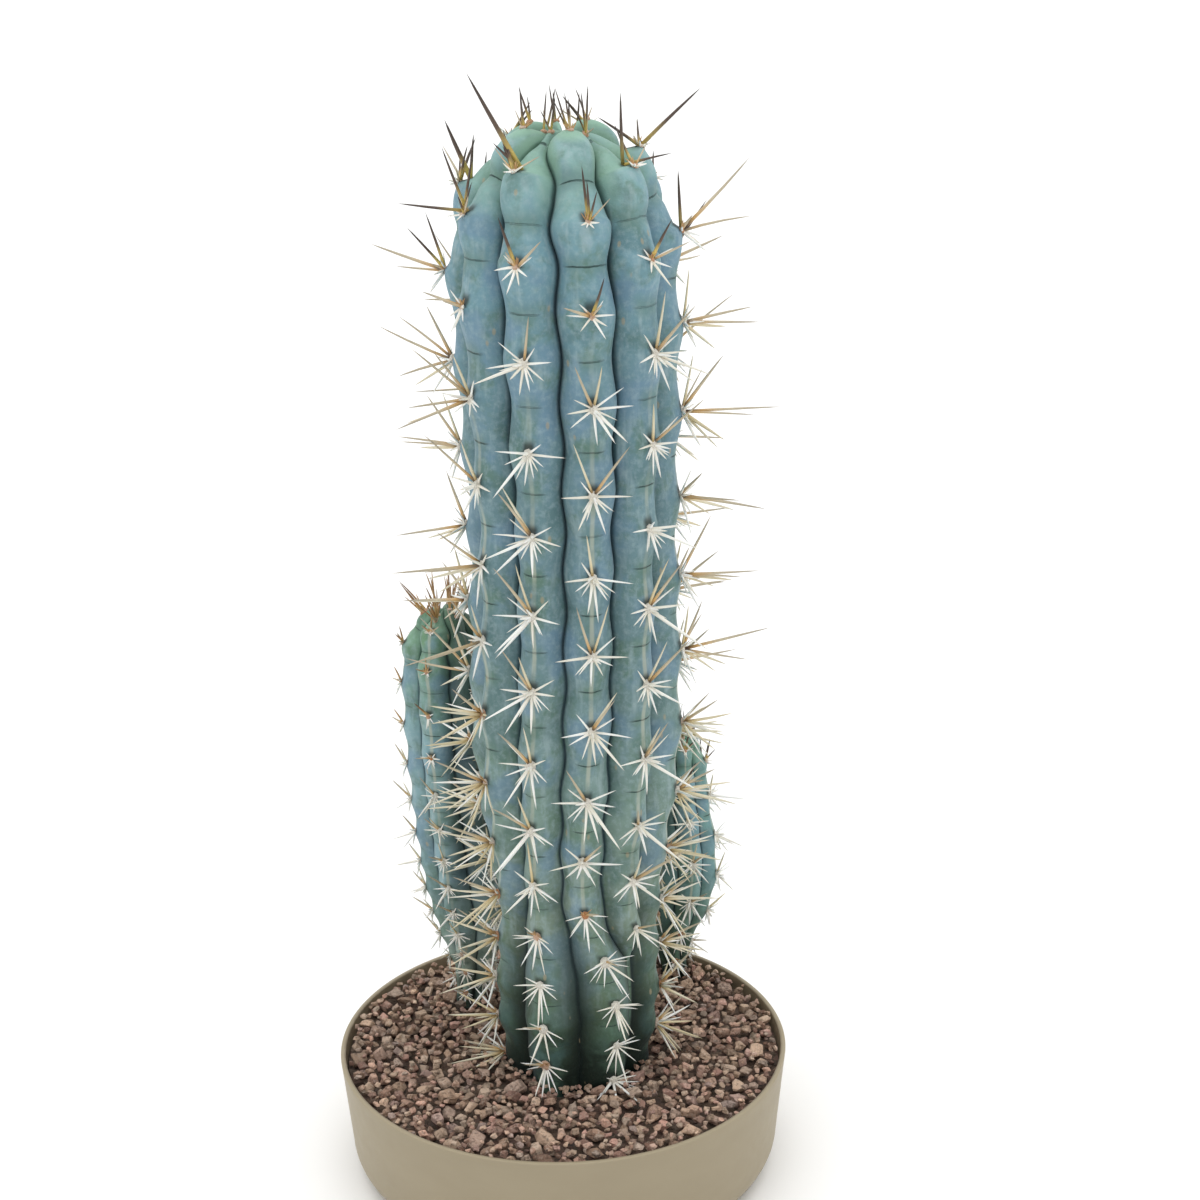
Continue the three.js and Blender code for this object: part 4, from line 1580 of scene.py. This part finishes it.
        # A spine that may lean either way leans outwards on the ribs at the sides.
        to_right = 0.5 + 0.5 * max(-0.8, min(0.8, 2.5 * out.x))
        mirror = -1.0 if habit.either_side and dice.random() > to_right else 1.0
        across = mirror * habit.across + dice.gauss(0.0, habit.spread)
        along = habit.along + dice.gauss(0.0, habit.spread)
        outward = max(0.12, habit.out + dice.gauss(0.0, 0.6 * habit.spread))
        direction = (across * right + along * up + outward * out).normalized()
        scale = self.tuft_scale if spot.z > self.plan.top - self.tuft_below else self.spine_scale
        length = habit.length * scale * dice.uniform(0.8, 1.2)
        root = spot + self.root_spread * (habit.across * mirror * right + habit.along * up)
        drop = self.grit_top - 0.5 - root.z
        if direction.z * length < drop:
            flat = Vector((direction.x, direction.y, 0.0)).normalized()
            fall = max(-0.85, drop / length)
            direction = flat * math.sqrt(1.0 - fall * fall) + Vector((0.0, 0.0, fall))
        girth = habit.girth * (0.55 + 0.45 * scale) * dice.uniform(0.88, 1.15)
        bend = dice.gauss(0.0, self.sway) * length
        deep_root = root - self.root_depth * direction
        return Spine(deep_root, direction, length + self.root_depth, girth, bend, dice.random() ** 1.6)

    def grow_areole(
        self,
        bristle: Bristle,
        star: Sequence[SpineHabit],
        bleached: bool,
        axes: tuple[Vector, Vector, Vector, Vector],
        size: Vector,
        rust: float,
        dice: random.Random,
    ) -> None:
        """Grows the spines and the cushion of one areole.

        Args:
            bristle: takes the spines and the cushion.
            star: habits of its spines.
            bleached: whether its rib faces the front; elsewhere some spines take the darker straw horn as
                painted shade.
            axes: place, and directions to the right, up the crest and outwards.
            size: half sizes of the cushion.
            rust: how orange brown its wool is.
            dice: source of chance.
        """
        spot, right, up, out = axes
        for habit in star:
            if dice.random() < habit.chance:
                # away from the front, the darker straw horn is painted shade of spines seen against the
                # light
                kind = SpineKind.STRAW if habit.straw_in_shade and not bleached else habit.kind
                bristle.add_spine(kind, self.grow_spine(habit, spot, (right, up, out), dice))
        turn = Matrix((right, up, out)).transposed().to_4x4()
        bristle.add_cushion(Matrix.Translation(spot) @ turn, size, rust)

    def star_at(self, front: bool, z: float) -> Sequence[SpineHabit]:
        """Picks the habits of an areole's spines.

        Args:
            front: whether its rib faces the front.
            z: its height.

        Returns:
            The habits.
        """
        if z > self.plan.top - self.apex_below:
            return APEX_TUFT
        if z > self.crown_above:
            return CROWN_TUFT
        if z > self.shoulder_above:
            return SHOULDER_STAR if front else SHOULDER_SIDE_STAR
        if front:
            return LOW_STAR if z < self.low_below else MIDDLE_STAR
        return DENSE_STAR if z < self.dense_below else SIDE_STAR

    def grow(self, form: StemForm) -> Bristle:
        """Grows all areoles, and the tight ring of young tufts round the tip.

        Args:
            form: surface of the stem.

        Returns:
            The spines and the wool.
        """
        dice = random.Random(self.seed)
        bristle = Bristle()
        scale = 0.5 + 0.5 * self.spine_scale
        for index, z in self.areoles(form):
            young = z > self.shoulder_above
            front = index in self.front_ribs
            near_foot = z < (self.low_below if front else self.dense_below)
            rusty = young or (near_foot and dice.random() < self.rusty_chance)
            rust = dice.uniform(0.45, 1.0) if rusty else dice.uniform(0.0, 0.35)
            growth = self.young_cushion if young else 1.0
            size = Vector(self.cushion) * scale * dice.uniform(0.8, 1.1) * growth
            star = (*self.star_at(front, z), *(HAIRS if rusty else ()))
            self.grow_areole(bristle, star, front, form.crest_frame(index, z), size, rust, dice)
        for leader in self.leaders:
            spot = form.crest_frame(leader.rib, leader.height)[0]
            direction = Vector(leader.direction).normalized()
            root = spot - self.root_depth * direction
            spine = Spine(root, direction, leader.length, leader.girth, 1.0, dice.random())
            bristle.add_spine(SpineKind.CROWN, spine)
        for number in range(self.apex_tufts):
            below_top = dice.uniform(0.01, self.tuft_reach)
            z = self.plan.top - (self.plan.top - self.plan.shoulder) * below_top
            axes = form.crest_frame(number % len(self.plan.ribs), z)
            size = Vector(self.tuft_cushion) * scale
            self.grow_areole(bristle, APEX_TUFT, False, axes, size, dice.uniform(0.5, 0.9), dice)
        return bristle

    def build(self, horns: dict[SpineKind, bpy.types.Material], wool: bpy.types.Material) -> None:
        """Builds and publishes the pieces of the stem.

        Args:
            horns: finish of each kind of spine.
            wool: finish of the cushions.
        """
        form = StemForm(self.plan)
        node = self.plan.name
        publish(f"{node}_skin", self.build_skin(form), self.skin.build(), (node,))
        bristle = self.grow(form)
        publish(f"{node}_areoles", bristle.felt.build(f"{node}_areoles"), wool, (node,))
        for kind, spines in bristle.spines.items():
            name = f"{node}_{kind.value}_spines"
            publish(name, spines.build(name), horns[kind], (node,))


# ---------------------------------------- bowl, grit


@dataclass(frozen=True)
class Bowl:
    """The shallow round bowl, in millimetres."""

    height: float = 72.0
    rim_radius: float = 130.0
    heel_radius: float = 125.0
    edge_radius: float = 20.0
    wall: float = 3.0
    floor: float = 4.0
    lip: float = 0.9
    steps: int = 192
    edge_steps: int = 12
    inner_edge_steps: int = 9
    lip_steps: int = 5
    wall_rings: int = 7
    ring_margin: tuple[float, float] = (6.0, 4.0)  # what the wall's rings keep off its edge and its lip
    base_ring: float = 0.55  # of the flat base

    def wall_radius(self, z: float) -> float:
        """Outer radius of the tapering wall at a height."""
        rise = (z - self.edge_radius) / (self.height - self.edge_radius)
        return self.heel_radius + (self.rim_radius - self.heel_radius) * rise

    def _arc(
        self, centre: tuple[float, float], radius: float, start: float, end: float, steps: int
    ) -> list[tuple[float, float]]:
        """Points of an arc in the outline.

        Args:
            centre: radius and height of its centre.
            radius: its radius.
            start: first angle in degrees.
            end: last angle in degrees.
            steps: number of segments.

        Returns:
            Points of radius and height.
        """
        angles = np.radians(np.linspace(start, end, steps + 1))
        return [(centre[0] + radius * math.cos(a), centre[1] + radius * math.sin(a)) for a in angles]

    def outline(self) -> list[tuple[float, float]]:
        """The closed wall from the axis outside, over the rim and back to the axis inside."""
        inner_edge = self.edge_radius - self.wall
        heel = self.heel_radius - self.edge_radius
        inner_rim = self.rim_radius - self.wall
        top = self.height - self.lip
        low, high = self.edge_radius + self.ring_margin[0], top - self.ring_margin[1]
        outside = [(self.wall_radius(z), z) for z in np.linspace(low, high, self.wall_rings)]
        inside = [(radius - self.wall, z) for radius, z in reversed(outside)]
        return [
            (0.0, 0.0),
            (self.base_ring * heel, 0.0),
            *self._arc((heel, self.edge_radius), self.edge_radius, -90, 0, self.edge_steps),
            *outside,
            *self._arc((self.rim_radius - self.lip, top), self.lip, 0, 90, self.lip_steps),
            *self._arc((inner_rim + self.lip, top), self.lip, 90, 180, self.lip_steps),
            *inside,
            *self._arc((heel, self.floor + inner_edge), inner_edge, 0, -90, self.inner_edge_steps),
            (0.0, self.floor),
        ]

    def build(self, plastic: bpy.types.Material) -> None:
        """Spins the wall and publishes it in place of the CAD pot.

        Args:
            plastic: finish of the bowl.
        """
        bm = bmesh.new()
        verts = [bm.verts.new((radius * MM, 0.0, z * MM)) for radius, z in self.outline()]
        edges = [bm.edges.new(pair) for pair in zip(verts, verts[1:])]
        turn = {"cent": (0.0, 0.0, 0.0), "axis": (0.0, 0.0, 1.0), "angle": FULL_TURN, "use_merge": True}
        bmesh.ops.spin(bm, geom=[*verts, *edges], steps=self.steps, **turn)
        bmesh.ops.remove_doubles(bm, verts=bm.verts, dist=1e-6)
        publish("bowl", finish_mesh("bowl", bm), plastic, ("pot",))


class StoneMaker:
    """Makes irregular, chipped stones of unit size."""

    def __init__(self, seed: int) -> None:
        """Keeps its own source of chance."""
        self.dice = random.Random(seed)

    def chip(self, bm: bmesh.types.BMesh, segments: int = 1) -> None:
        """Adds one stone round the origin: a skewed block whose edges and corners are worn.

        Args:
            bm: mesh that takes the stone.
            segments: segments of each worn edge.
        """
        dice = self.dice
        before = set(bm.verts)
        bmesh.ops.create_cone(
            bm,
            cap_ends=True,
            segments=dice.choice((4, 4, 5)),
            radius1=1.0,
            radius2=dice.uniform(0.55, 0.95),
            depth=dice.uniform(1.1, 1.7),
            matrix=Matrix.Rotation(dice.uniform(0.0, 1.5), 4, "Z"),
        )
        verts = [vert for vert in bm.verts if vert not in before]
        for vert in verts:
            vert.co *= dice.uniform(0.78, 1.2)
            vert.co += Vector(dice.uniform(-0.22, 0.22) for _ in range(3))
        edges = list({edge for vert in verts for edge in vert.link_edges})
        bmesh.ops.bevel(
            bm,
            geom=edges,
            offset=dice.uniform(0.12, 0.24),
            offset_type="OFFSET",
            segments=segments,
            profile=0.5,
            affect="EDGES",
            material=-1,
            clamp_overlap=True,
        )
        verts = [vert for vert in bm.verts if vert not in before]
        for vert in verts:
            vert.co += Vector(dice.uniform(-0.08, 0.08) for _ in range(3))
        reach = max(vert.co.length for vert in verts)
        bmesh.ops.scale(bm, vec=(1.0 / reach,) * 3, verts=verts)


@dataclass
class LavaGrit:
    """The loose bed of crushed lava: stones dropped one by one until the bed is full.

    Lengths are in millimetres.
    """

    bowl: Bowl
    stems: tuple[StemPlan, ...]
    counts: tuple[tuple[int, float], ...] = (
        (1900, 5.2),  # stones and their mean radius
        (3300, 2.6),  # fines
    )
    size_spread: float = 0.24
    size_range: tuple[float, float] = (0.6, 1.75)  # of the mean radius
    kinds: int = 18
    bed: float = 63.6  # where the lowest stones rest
    crown: float = 74.0  # no stone rises above this
    surface: float = 67.0  # where the stems' outlines are taken
    play: float = 0.2  # between the grit and the bowl or a stem
    flatness: float = 0.72  # height of a lying stone, of its radius
    nesting: float = 0.8  # how much of its height the next ones find, since stones nest
    tries: int = 8
    cell: float = 0.8  # of the height map
    blocked: float = 1000.0  # height of cells that no stone may fall on
    stem_sides: int = 12  # points of a rib in a stem's outline
    seed: int = 7

    def height_map(self, loose: Sequence[tuple[Vector, Vector]]) -> np.ndarray:
        """Height of what lies under each cell before the grit is dropped.

        Args:
            loose: lowest and highest corners of the single stones.

        Returns:
            Heights; walls, stems and single stones are blocked.
        """
        reach = self.bowl.rim_radius
        line = np.arange(-reach, reach, self.cell) + 0.5 * self.cell
        x, y = np.meshgrid(line, line, indexing="ij")
        heights = np.full(x.shape, self.bed)
        inner_wall = self.bowl.wall_radius(self.surface - 1.0) - self.bowl.wall
        heights[np.hypot(x, y) > inner_wall - self.play] = self.blocked
        for plan in self.stems:
            form = StemForm(plan)
            ribs = np.repeat(np.arange(len(plan.ribs)), self.stem_sides)
            sides = np.tile(np.linspace(-1.0, 1.0, self.stem_sides, endpoint=False), len(plan.ribs))
            ring = form.point(ribs, sides, np.full(len(ribs), self.surface))
            cx = float(form.centre(np.array([self.surface]))[0])
            angle = np.arctan2(ring[:, 1] - plan.depth_y, ring[:, 0] - cx)
            order = np.argsort(angle)
            radius = np.hypot(ring[:, 0] - cx, ring[:, 1] - plan.depth_y)
            at_cell = np.interp(
                np.arctan2(y - plan.depth_y, x - cx), angle[order], radius[order], period=FULL_TURN
            )
            heights[np.hypot(x - cx, y - plan.depth_y) < at_cell + self.play] = self.blocked
        for low, high in loose:
            centre = 0.5 * (low + high) / MM
            size = 0.5 * (high - low) / MM
            inside = ((x - centre.x) / size.x) ** 2 + ((y - centre.y) / size.y) ** 2 < 0.8
            heights[inside] = self.blocked
        return heights

    def _lowest(
        self, heights: np.ndarray, under: np.ndarray, radius: float, dice: np.random.Generator
    ) -> tuple[float, int, int] | None:
        """Tries a few places and picks the one where a stone comes to rest the lowest.

        Args:
            heights: the height map.
            under: what the stone needs below its middle, cell by cell.
            radius: its radius.
            dice: source of chance.

        Returns:
            Height of its middle and its cell, or none if it fits nowhere.
        """
        reach = self.bowl.rim_radius
        span = under.shape[0] // 2
        best = None
        for _ in range(self.tries):
            distance = (self.bowl.rim_radius - self.bowl.wall - radius) * math.sqrt(dice.random())
            angle = FULL_TURN * dice.random()
            i = int((distance * math.cos(angle) + reach) / self.cell)
            j = int((distance * math.sin(angle) + reach) / self.cell)
            patch = heights[i - span : i + span + 1, j - span : j + span + 1]
            if patch.shape != under.shape:
                continue
            level = float((patch + under).max())
            if best is None or level < best[0]:
                best = (level, i, j)
        return best

    def drop(self, loose: Sequence[tuple[Vector, Vector]]) -> list[tuple[float, float, float, float]]:
        """Drops the stones, each into the lowest of a few places.

        Args:
            loose: corners of the single stones that are already there.

        Returns:
            Place and radius of each stone.
        """
        dice = np.random.default_rng(self.seed)
        heights = self.height_map(loose)
        reach = self.bowl.rim_radius
        placed = []
        sizes = [size for count, size in self.counts for _ in range(count)]
        for mean_radius in sizes:
            ratio = np.exp(dice.normal(0.0, self.size_spread))
            radius = mean_radius * float(np.clip(ratio, *self.size_range))
            span = int(math.ceil(radius / self.cell))
            offsets = np.arange(-span, span + 1) * self.cell
            far = (offsets[:, None] ** 2 + offsets[None, :] ** 2) / radius**2
            dome = self.flatness * radius * np.sqrt(np.clip(1.0 - far, 0.0, 1.0))
            under = np.where(far < 1.0, dome, -self.blocked)
            best = self._lowest(heights, under, radius, dice)
            if best is None or best[0] + self.flatness * radius > self.crown:
                continue
            level, i, j = best
            patch = heights[i - span : i + span + 1, j - span : j + span + 1]
            raised = np.where(far < 1.0, level + self.nesting * dome, -self.blocked)
            np.maximum(patch, raised, out=patch)
            x = (i + 0.5) * self.cell - reach
            y = (j + 0.5) * self.cell - reach
            placed.append((x, y, level, radius))
        return placed

    def build(self, loose: Sequence[tuple[Vector, Vector]], lava: bpy.types.Material) -> None:
        """Builds and publishes the bed.

        Args:
            loose: corners of the single stones.
            lava: finish of the grit.
        """
        dice = random.Random(self.seed)
        maker = StoneMaker(self.seed)
        templates = []
        for number in range(self.kinds):
            bm = bmesh.new()
            bm.loops.layers.uv.new("grit_map")
            maker.chip(bm)
            templates.append(finish_mesh(f"stone_template_{number}", bm))
        grit = CopyMesh("grit_map")
        for x, y, z, radius in self.drop(loose):
            lie = Quaternion([dice.gauss(0.0, 1.0) for _ in range(4)]).normalized()
            stretch = Vector((dice.uniform(1.05, 1.45), dice.uniform(0.8, 1.0), dice.uniform(0.7, 0.9)))
            turn = Matrix.Rotation(dice.uniform(0.0, FULL_TURN), 3, "Z")
            sized = turn @ Matrix.Diagonal(stretch * radius * MM) @ lie.to_matrix()
            place = Matrix.Translation(Vector((x, y, z)) * MM) @ sized.to_4x4()
            grit.add(dice.choice(templates), place.__matmul__, dice.random(), dice.random())
        publish("lava_grit", grit.build("lava_grit", smooth=False), lava)


@dataclass
class LooseStones:
    """The single stones on top of the bed, each in place of its CAD stone."""

    count: int = 24
    seed: int = 31
    edge_segments: int = 3
    smoothing: float = 0.4
    dents: float = 0.1  # how deep they are, of the stone's reach
    dents_across: float = 2.2  # how many lie next to each other over a stone's reach

    def names(self) -> list[str]:
        """Names of the CAD stones."""
        return [f"gravel_stone_{number:02d}" for number in range(1, self.count + 1)]

    def boxes(self) -> list[tuple[Vector, Vector]]:
        """Lowest and highest corner of each CAD stone."""
        return [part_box(name) for name in self.names()]

    def build(self, lava: bpy.types.Material) -> None:
        """Carves and publishes each stone.

        Args:
            lava: finish of the stones.
        """
        maker = StoneMaker(self.seed)
        dice = random.Random(self.seed)
        for name in self.names():
            low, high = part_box(name)
            bm = bmesh.new()
            layer = bm.loops.layers.uv.new("grit_map")
            maker.chip(bm, segments=self.edge_segments)
            bmesh.ops.triangulate(bm, faces=bm.faces)
            bmesh.ops.subdivide_edges(bm, edges=bm.edges, cuts=1, use_grid_fill=True)
            bmesh.ops.smooth_vert(
                bm,
                verts=bm.verts,
                factor=self.smoothing,
                use_axis_x=True,
                use_axis_y=True,
                use_axis_z=True,
            )
            shift = Vector(dice.uniform(-50.0, 50.0) for _ in range(3))
            for vert in bm.verts:
                vert.co *= 1.0 + self.dents * solid_noise.noise(self.dents_across * vert.co + shift)
            reach = [[vert.co[axis] for vert in bm.verts] for axis in range(3)]
            centre = Vector(0.5 * (min(values) + max(values)) for values in reach)
            half = Vector(0.5 * (max(values) - min(values)) for values in reach)
            middle, size = 0.5 * (low + high), 0.5 * (high - low)
            for vert in bm.verts:
                share = [(vert.co[axis] - centre[axis]) / half[axis] for axis in range(3)]
                vert.co = middle + Vector(share[axis] * size[axis] for axis in range(3))
            tone = (dice.random(), dice.uniform(0.4, 1.0))
            for face in bm.faces:
                for loop in face.loops:
                    loop[layer].uv = tone
            piece = name.replace("gravel", "loose")
            publish(piece, finish_mesh(piece, bm), lava, (name,))


# ---------------------------------------- studio


@dataclass(frozen=True)
class Studio:
    """Pale floor, soft light and the camera at the photograph's angle, in metres and degrees."""

    camera_place: tuple[float, float, float] = (0.0251, -1.183, 0.7675)
    camera_pitch: float = 19.65
    camera_roll: float = -0.8
    focal_pixels: float = 2296.5
    photo_width: float = 1200.0
    sensor: float = 36.0
    floor_radius: float = 14.0
    sky: str = "#ffffff"
    sky_strength: float = 1.0
    bright_side: tuple[float, float, float] = (0.2, 0.98, 0.0)
    bright_from: float = 0.2  # how far towards the bright side the sky reaches its full strength
    front_dim: float = 0.62  # brightness opposite the bright side, of the sky's
    roof_place: tuple[float, float, float] = (-0.12, -0.4, 2.0)
    sun_strength: float = 1.4
    sun_spread: float = 70.0

    def build_camera(self) -> None:
        """Places the camera and makes it the scene's."""
        pitch = math.radians(self.camera_pitch)
        roll = math.radians(self.camera_roll)
        ahead = Vector((0.0, math.cos(pitch), -math.sin(pitch)))
        level_up = Vector((0.0, math.sin(pitch), math.cos(pitch)))
        level_right = Vector((1.0, 0.0, 0.0))
        right = math.cos(roll) * level_right + math.sin(roll) * level_up
        up = math.cos(roll) * level_up - math.sin(roll) * level_right
        data = bpy.data.cameras.new("photo_camera")
        data.sensor_width = self.sensor
        data.sensor_fit = "HORIZONTAL"
        data.lens = self.sensor * self.focal_pixels / self.photo_width
        data.clip_start = 0.01
        camera = bpy.data.objects.new("photo_camera", data)
        turn = Matrix((right, up, -ahead)).transposed().to_4x4()
        camera.matrix_world = Matrix.Translation(self.camera_place) @ turn
        bpy.context.scene.collection.objects.link(camera)
        bpy.context.scene.camera = camera

    def build_floor(self) -> None:
        """Lays the pale floor."""
        bm = bmesh.new()
        bmesh.ops.create_circle(bm, cap_ends=True, radius=self.floor_radius, segments=96)
        mesh = finish_mesh("studio_floor", bm, smooth=False)
        mesh.materials.append(PaperSweep().build())
        floor = bpy.data.objects.new("studio_floor", mesh)
        bpy.context.scene.collection.objects.link(floor)

    def build_light(self) -> None:
        """Adds a broad, soft, far light, as from a glazed roof."""
        data = bpy.data.lights.new("roof_light", "SUN")
        data.angle = math.radians(self.sun_spread)
        data.energy = self.sun_strength
        lamp = bpy.data.objects.new("roof_light", data)
        turn = Vector(self.roof_place).to_track_quat("Z", "Y").to_matrix().to_4x4()
        lamp.matrix_world = Matrix.Translation(self.roof_place) @ turn
        bpy.context.scene.collection.objects.link(lamp)

    def build_world(self) -> None:
        """Surrounds the scene with a white sky that is a little dimmer behind the camera."""
        world = bpy.data.worlds.new("studio_sky")
        world.use_nodes = True
        world.node_tree.nodes.clear()
        tree = world.node_tree
        direction = add_node(tree, "TexCoord").node.outputs["Generated"]
        facing = {0: direction, 1: self.bright_side}
        along = add_node(tree, "VectorMath", {"operation": "DOT_PRODUCT"}, facing).node.outputs["Value"]
        brightest = self.sky_strength
        band = (along, -1.0, self.bright_from, self.front_dim * brightest, brightest)
        strength = add_node(tree, "MapRange", SMOOTH, dict(zip(RANGE, band)))
        sky = add_node(tree, "Background", inputs={"Color": linear(self.sky), "Strength": strength})
        add_node(tree, "OutputWorld", inputs={"Surface": sky})
        bpy.context.scene.world = world

    def build(self) -> None:
        """Builds the whole studio."""
        self.build_camera()
        self.build_floor()
        self.build_world()
        self.build_light()
        settings = bpy.context.scene.view_settings
        settings.view_transform = "Standard"
        settings.look = "None"


# ---------------------------------------- main

MAIN_SKIN = WaxySkin(
    name="cactus_skin_waxy_bloom",
    heights=(
        # darkest at the foot: partly deep green skin, partly painted shade where the stem meets the grit
        (64, "#101b14"),
        (82, "#1b2b22"),
        (104, "#3d5543"),
        (130, "#586c57"),
        (190, "#819587"),
        (250, "#7b958d"),
        (330, "#69878c"),
        (450, "#688992"),
        (550, "#7198a4"),
        (604, "#8cb1af"),
    ),
)
LEFT_SKIN = WaxySkin(
    name="cactus_skin_left_shoot",
    heights=(
        (64, "#84978a"),
        (100, "#a3b7ac"),
        (160, "#8aa9ae"),
        (250, "#82a5ab"),
        (290, "#6f957c"),
        (321, "#5b8258"),
    ),
    strip_range=(80.0, 420.0),
    fresh_range=(285.0, 318.0),
    valley_range=(60.0, 120.0),
    # painted shade on the side towards the tall stem
    shade_range=(-70.0, -58.0),
)
RIGHT_SKIN = WaxySkin(
    name="cactus_skin_right_shoot",
    heights=((64, "#36483a"), (100, "#587464"), (150, "#76a09a"), (200, "#769f9e"), (228, "#6c9374")),
    strip_range=(80.0, 380.0),
    fresh_range=(200.0, 225.0),
    valley_range=(60.0, 120.0),
    # painted shade on the side towards the tall stem
    shade_range=(74.0, 64.0),
)
HORNS = {
    RADIAL: SpineHorn("spine_horn_ivory", "#f2f0e8", "#f5f6f2", "#e6e7e2", "#dbd4bd"),
    STRAW: SpineHorn("spine_horn_straw", "#d8c59a", "#e1dbc4", "#cfc9b3", "#cdb985", "#93703f"),
    CENTRAL: SpineHorn("spine_horn_amber", "#cda365", "#c5b89c", "#9b9282", "#b3a78d", "#4a3222"),
    CROWN: SpineHorn("spine_horn_brown", "#dcc26a", "#5e4b3c", "#1f1b1b", "#43342b"),
    HAIR: SpineHorn("areole_hair_rust", "#a98358", "#c6a070", "#c2a37a", "#96704a", roughness=0.9),
}

YOUNG_HORN = SpineHorn("spine_horn_young_rust", "#d6b47a", "#a07a4e", "#634a3a", "#c9a06a")


def dress_cad_nodes(lava: bpy.types.Material) -> None:
    """Gives the CAD nodes that stay their finishes.

    Args:
        lava: finish of the gravel layer.
    """
    for name, material in (("gravel_layer", lava), ("potting_soil", PottingSoil().build())):
        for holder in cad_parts[name].material_slots:
            holder.material = material
        LOG.info("%s: CAD mesh, finish %s", name, material.name)


def main() -> None:
    """Builds the object and the studio, in order."""
    logging.basicConfig(level=logging.INFO, format="%(message)s")
    Studio().build()
    bowl = Bowl()
    bowl.build(MouldedPlastic().build())
    horns = {kind: horn.build() for kind, horn in HORNS.items()}
    wool = AreoleFelt().build()
    RibbedStem(MAIN_STEM, MAIN_SKIN, seed=11, leaders=LEADING_SPINES).build(horns, wool)
    RibbedStem(
        LEFT_SHOOT,
        LEFT_SKIN,
        seed=12,
        side_steps=8,
        row_steps=10,
        cap_steps=20,
        spine_scale=0.44,
        low_below=110.0,
        front_ribs=tuple(range(6)),
        shoulder_above=230.0,
        crown_above=285.0,
        apex_tufts=22,
        tuft_scale=0.95,
        tuft_reach=0.11,
    ).build({**horns, SpineKind.CROWN: YOUNG_HORN.build()}, wool)
    RibbedStem(
        RIGHT_SHOOT,
        RIGHT_SKIN,
        seed=13,
        side_steps=8,
        row_steps=12,
        cap_steps=16,
        spine_scale=0.62,
        low_below=110.0,
        dense_below=170.0,
        shoulder_above=190.0,
        crown_above=205.0,
        apex_tufts=8,
        tuft_scale=0.6,
    ).build(horns, wool)
    stones = LooseStones()
    grit = CrushedLava("lava_grit_crushed", by_stone=True).build()
    LavaGrit(bowl, (MAIN_STEM, LEFT_SHOOT, RIGHT_SHOOT)).build(stones.boxes(), grit)
    stones.build(grit)
    dress_cad_nodes(CrushedLava("lava_bed_crushed", by_stone=False).build())


if __name__ == "__main__":
    main()
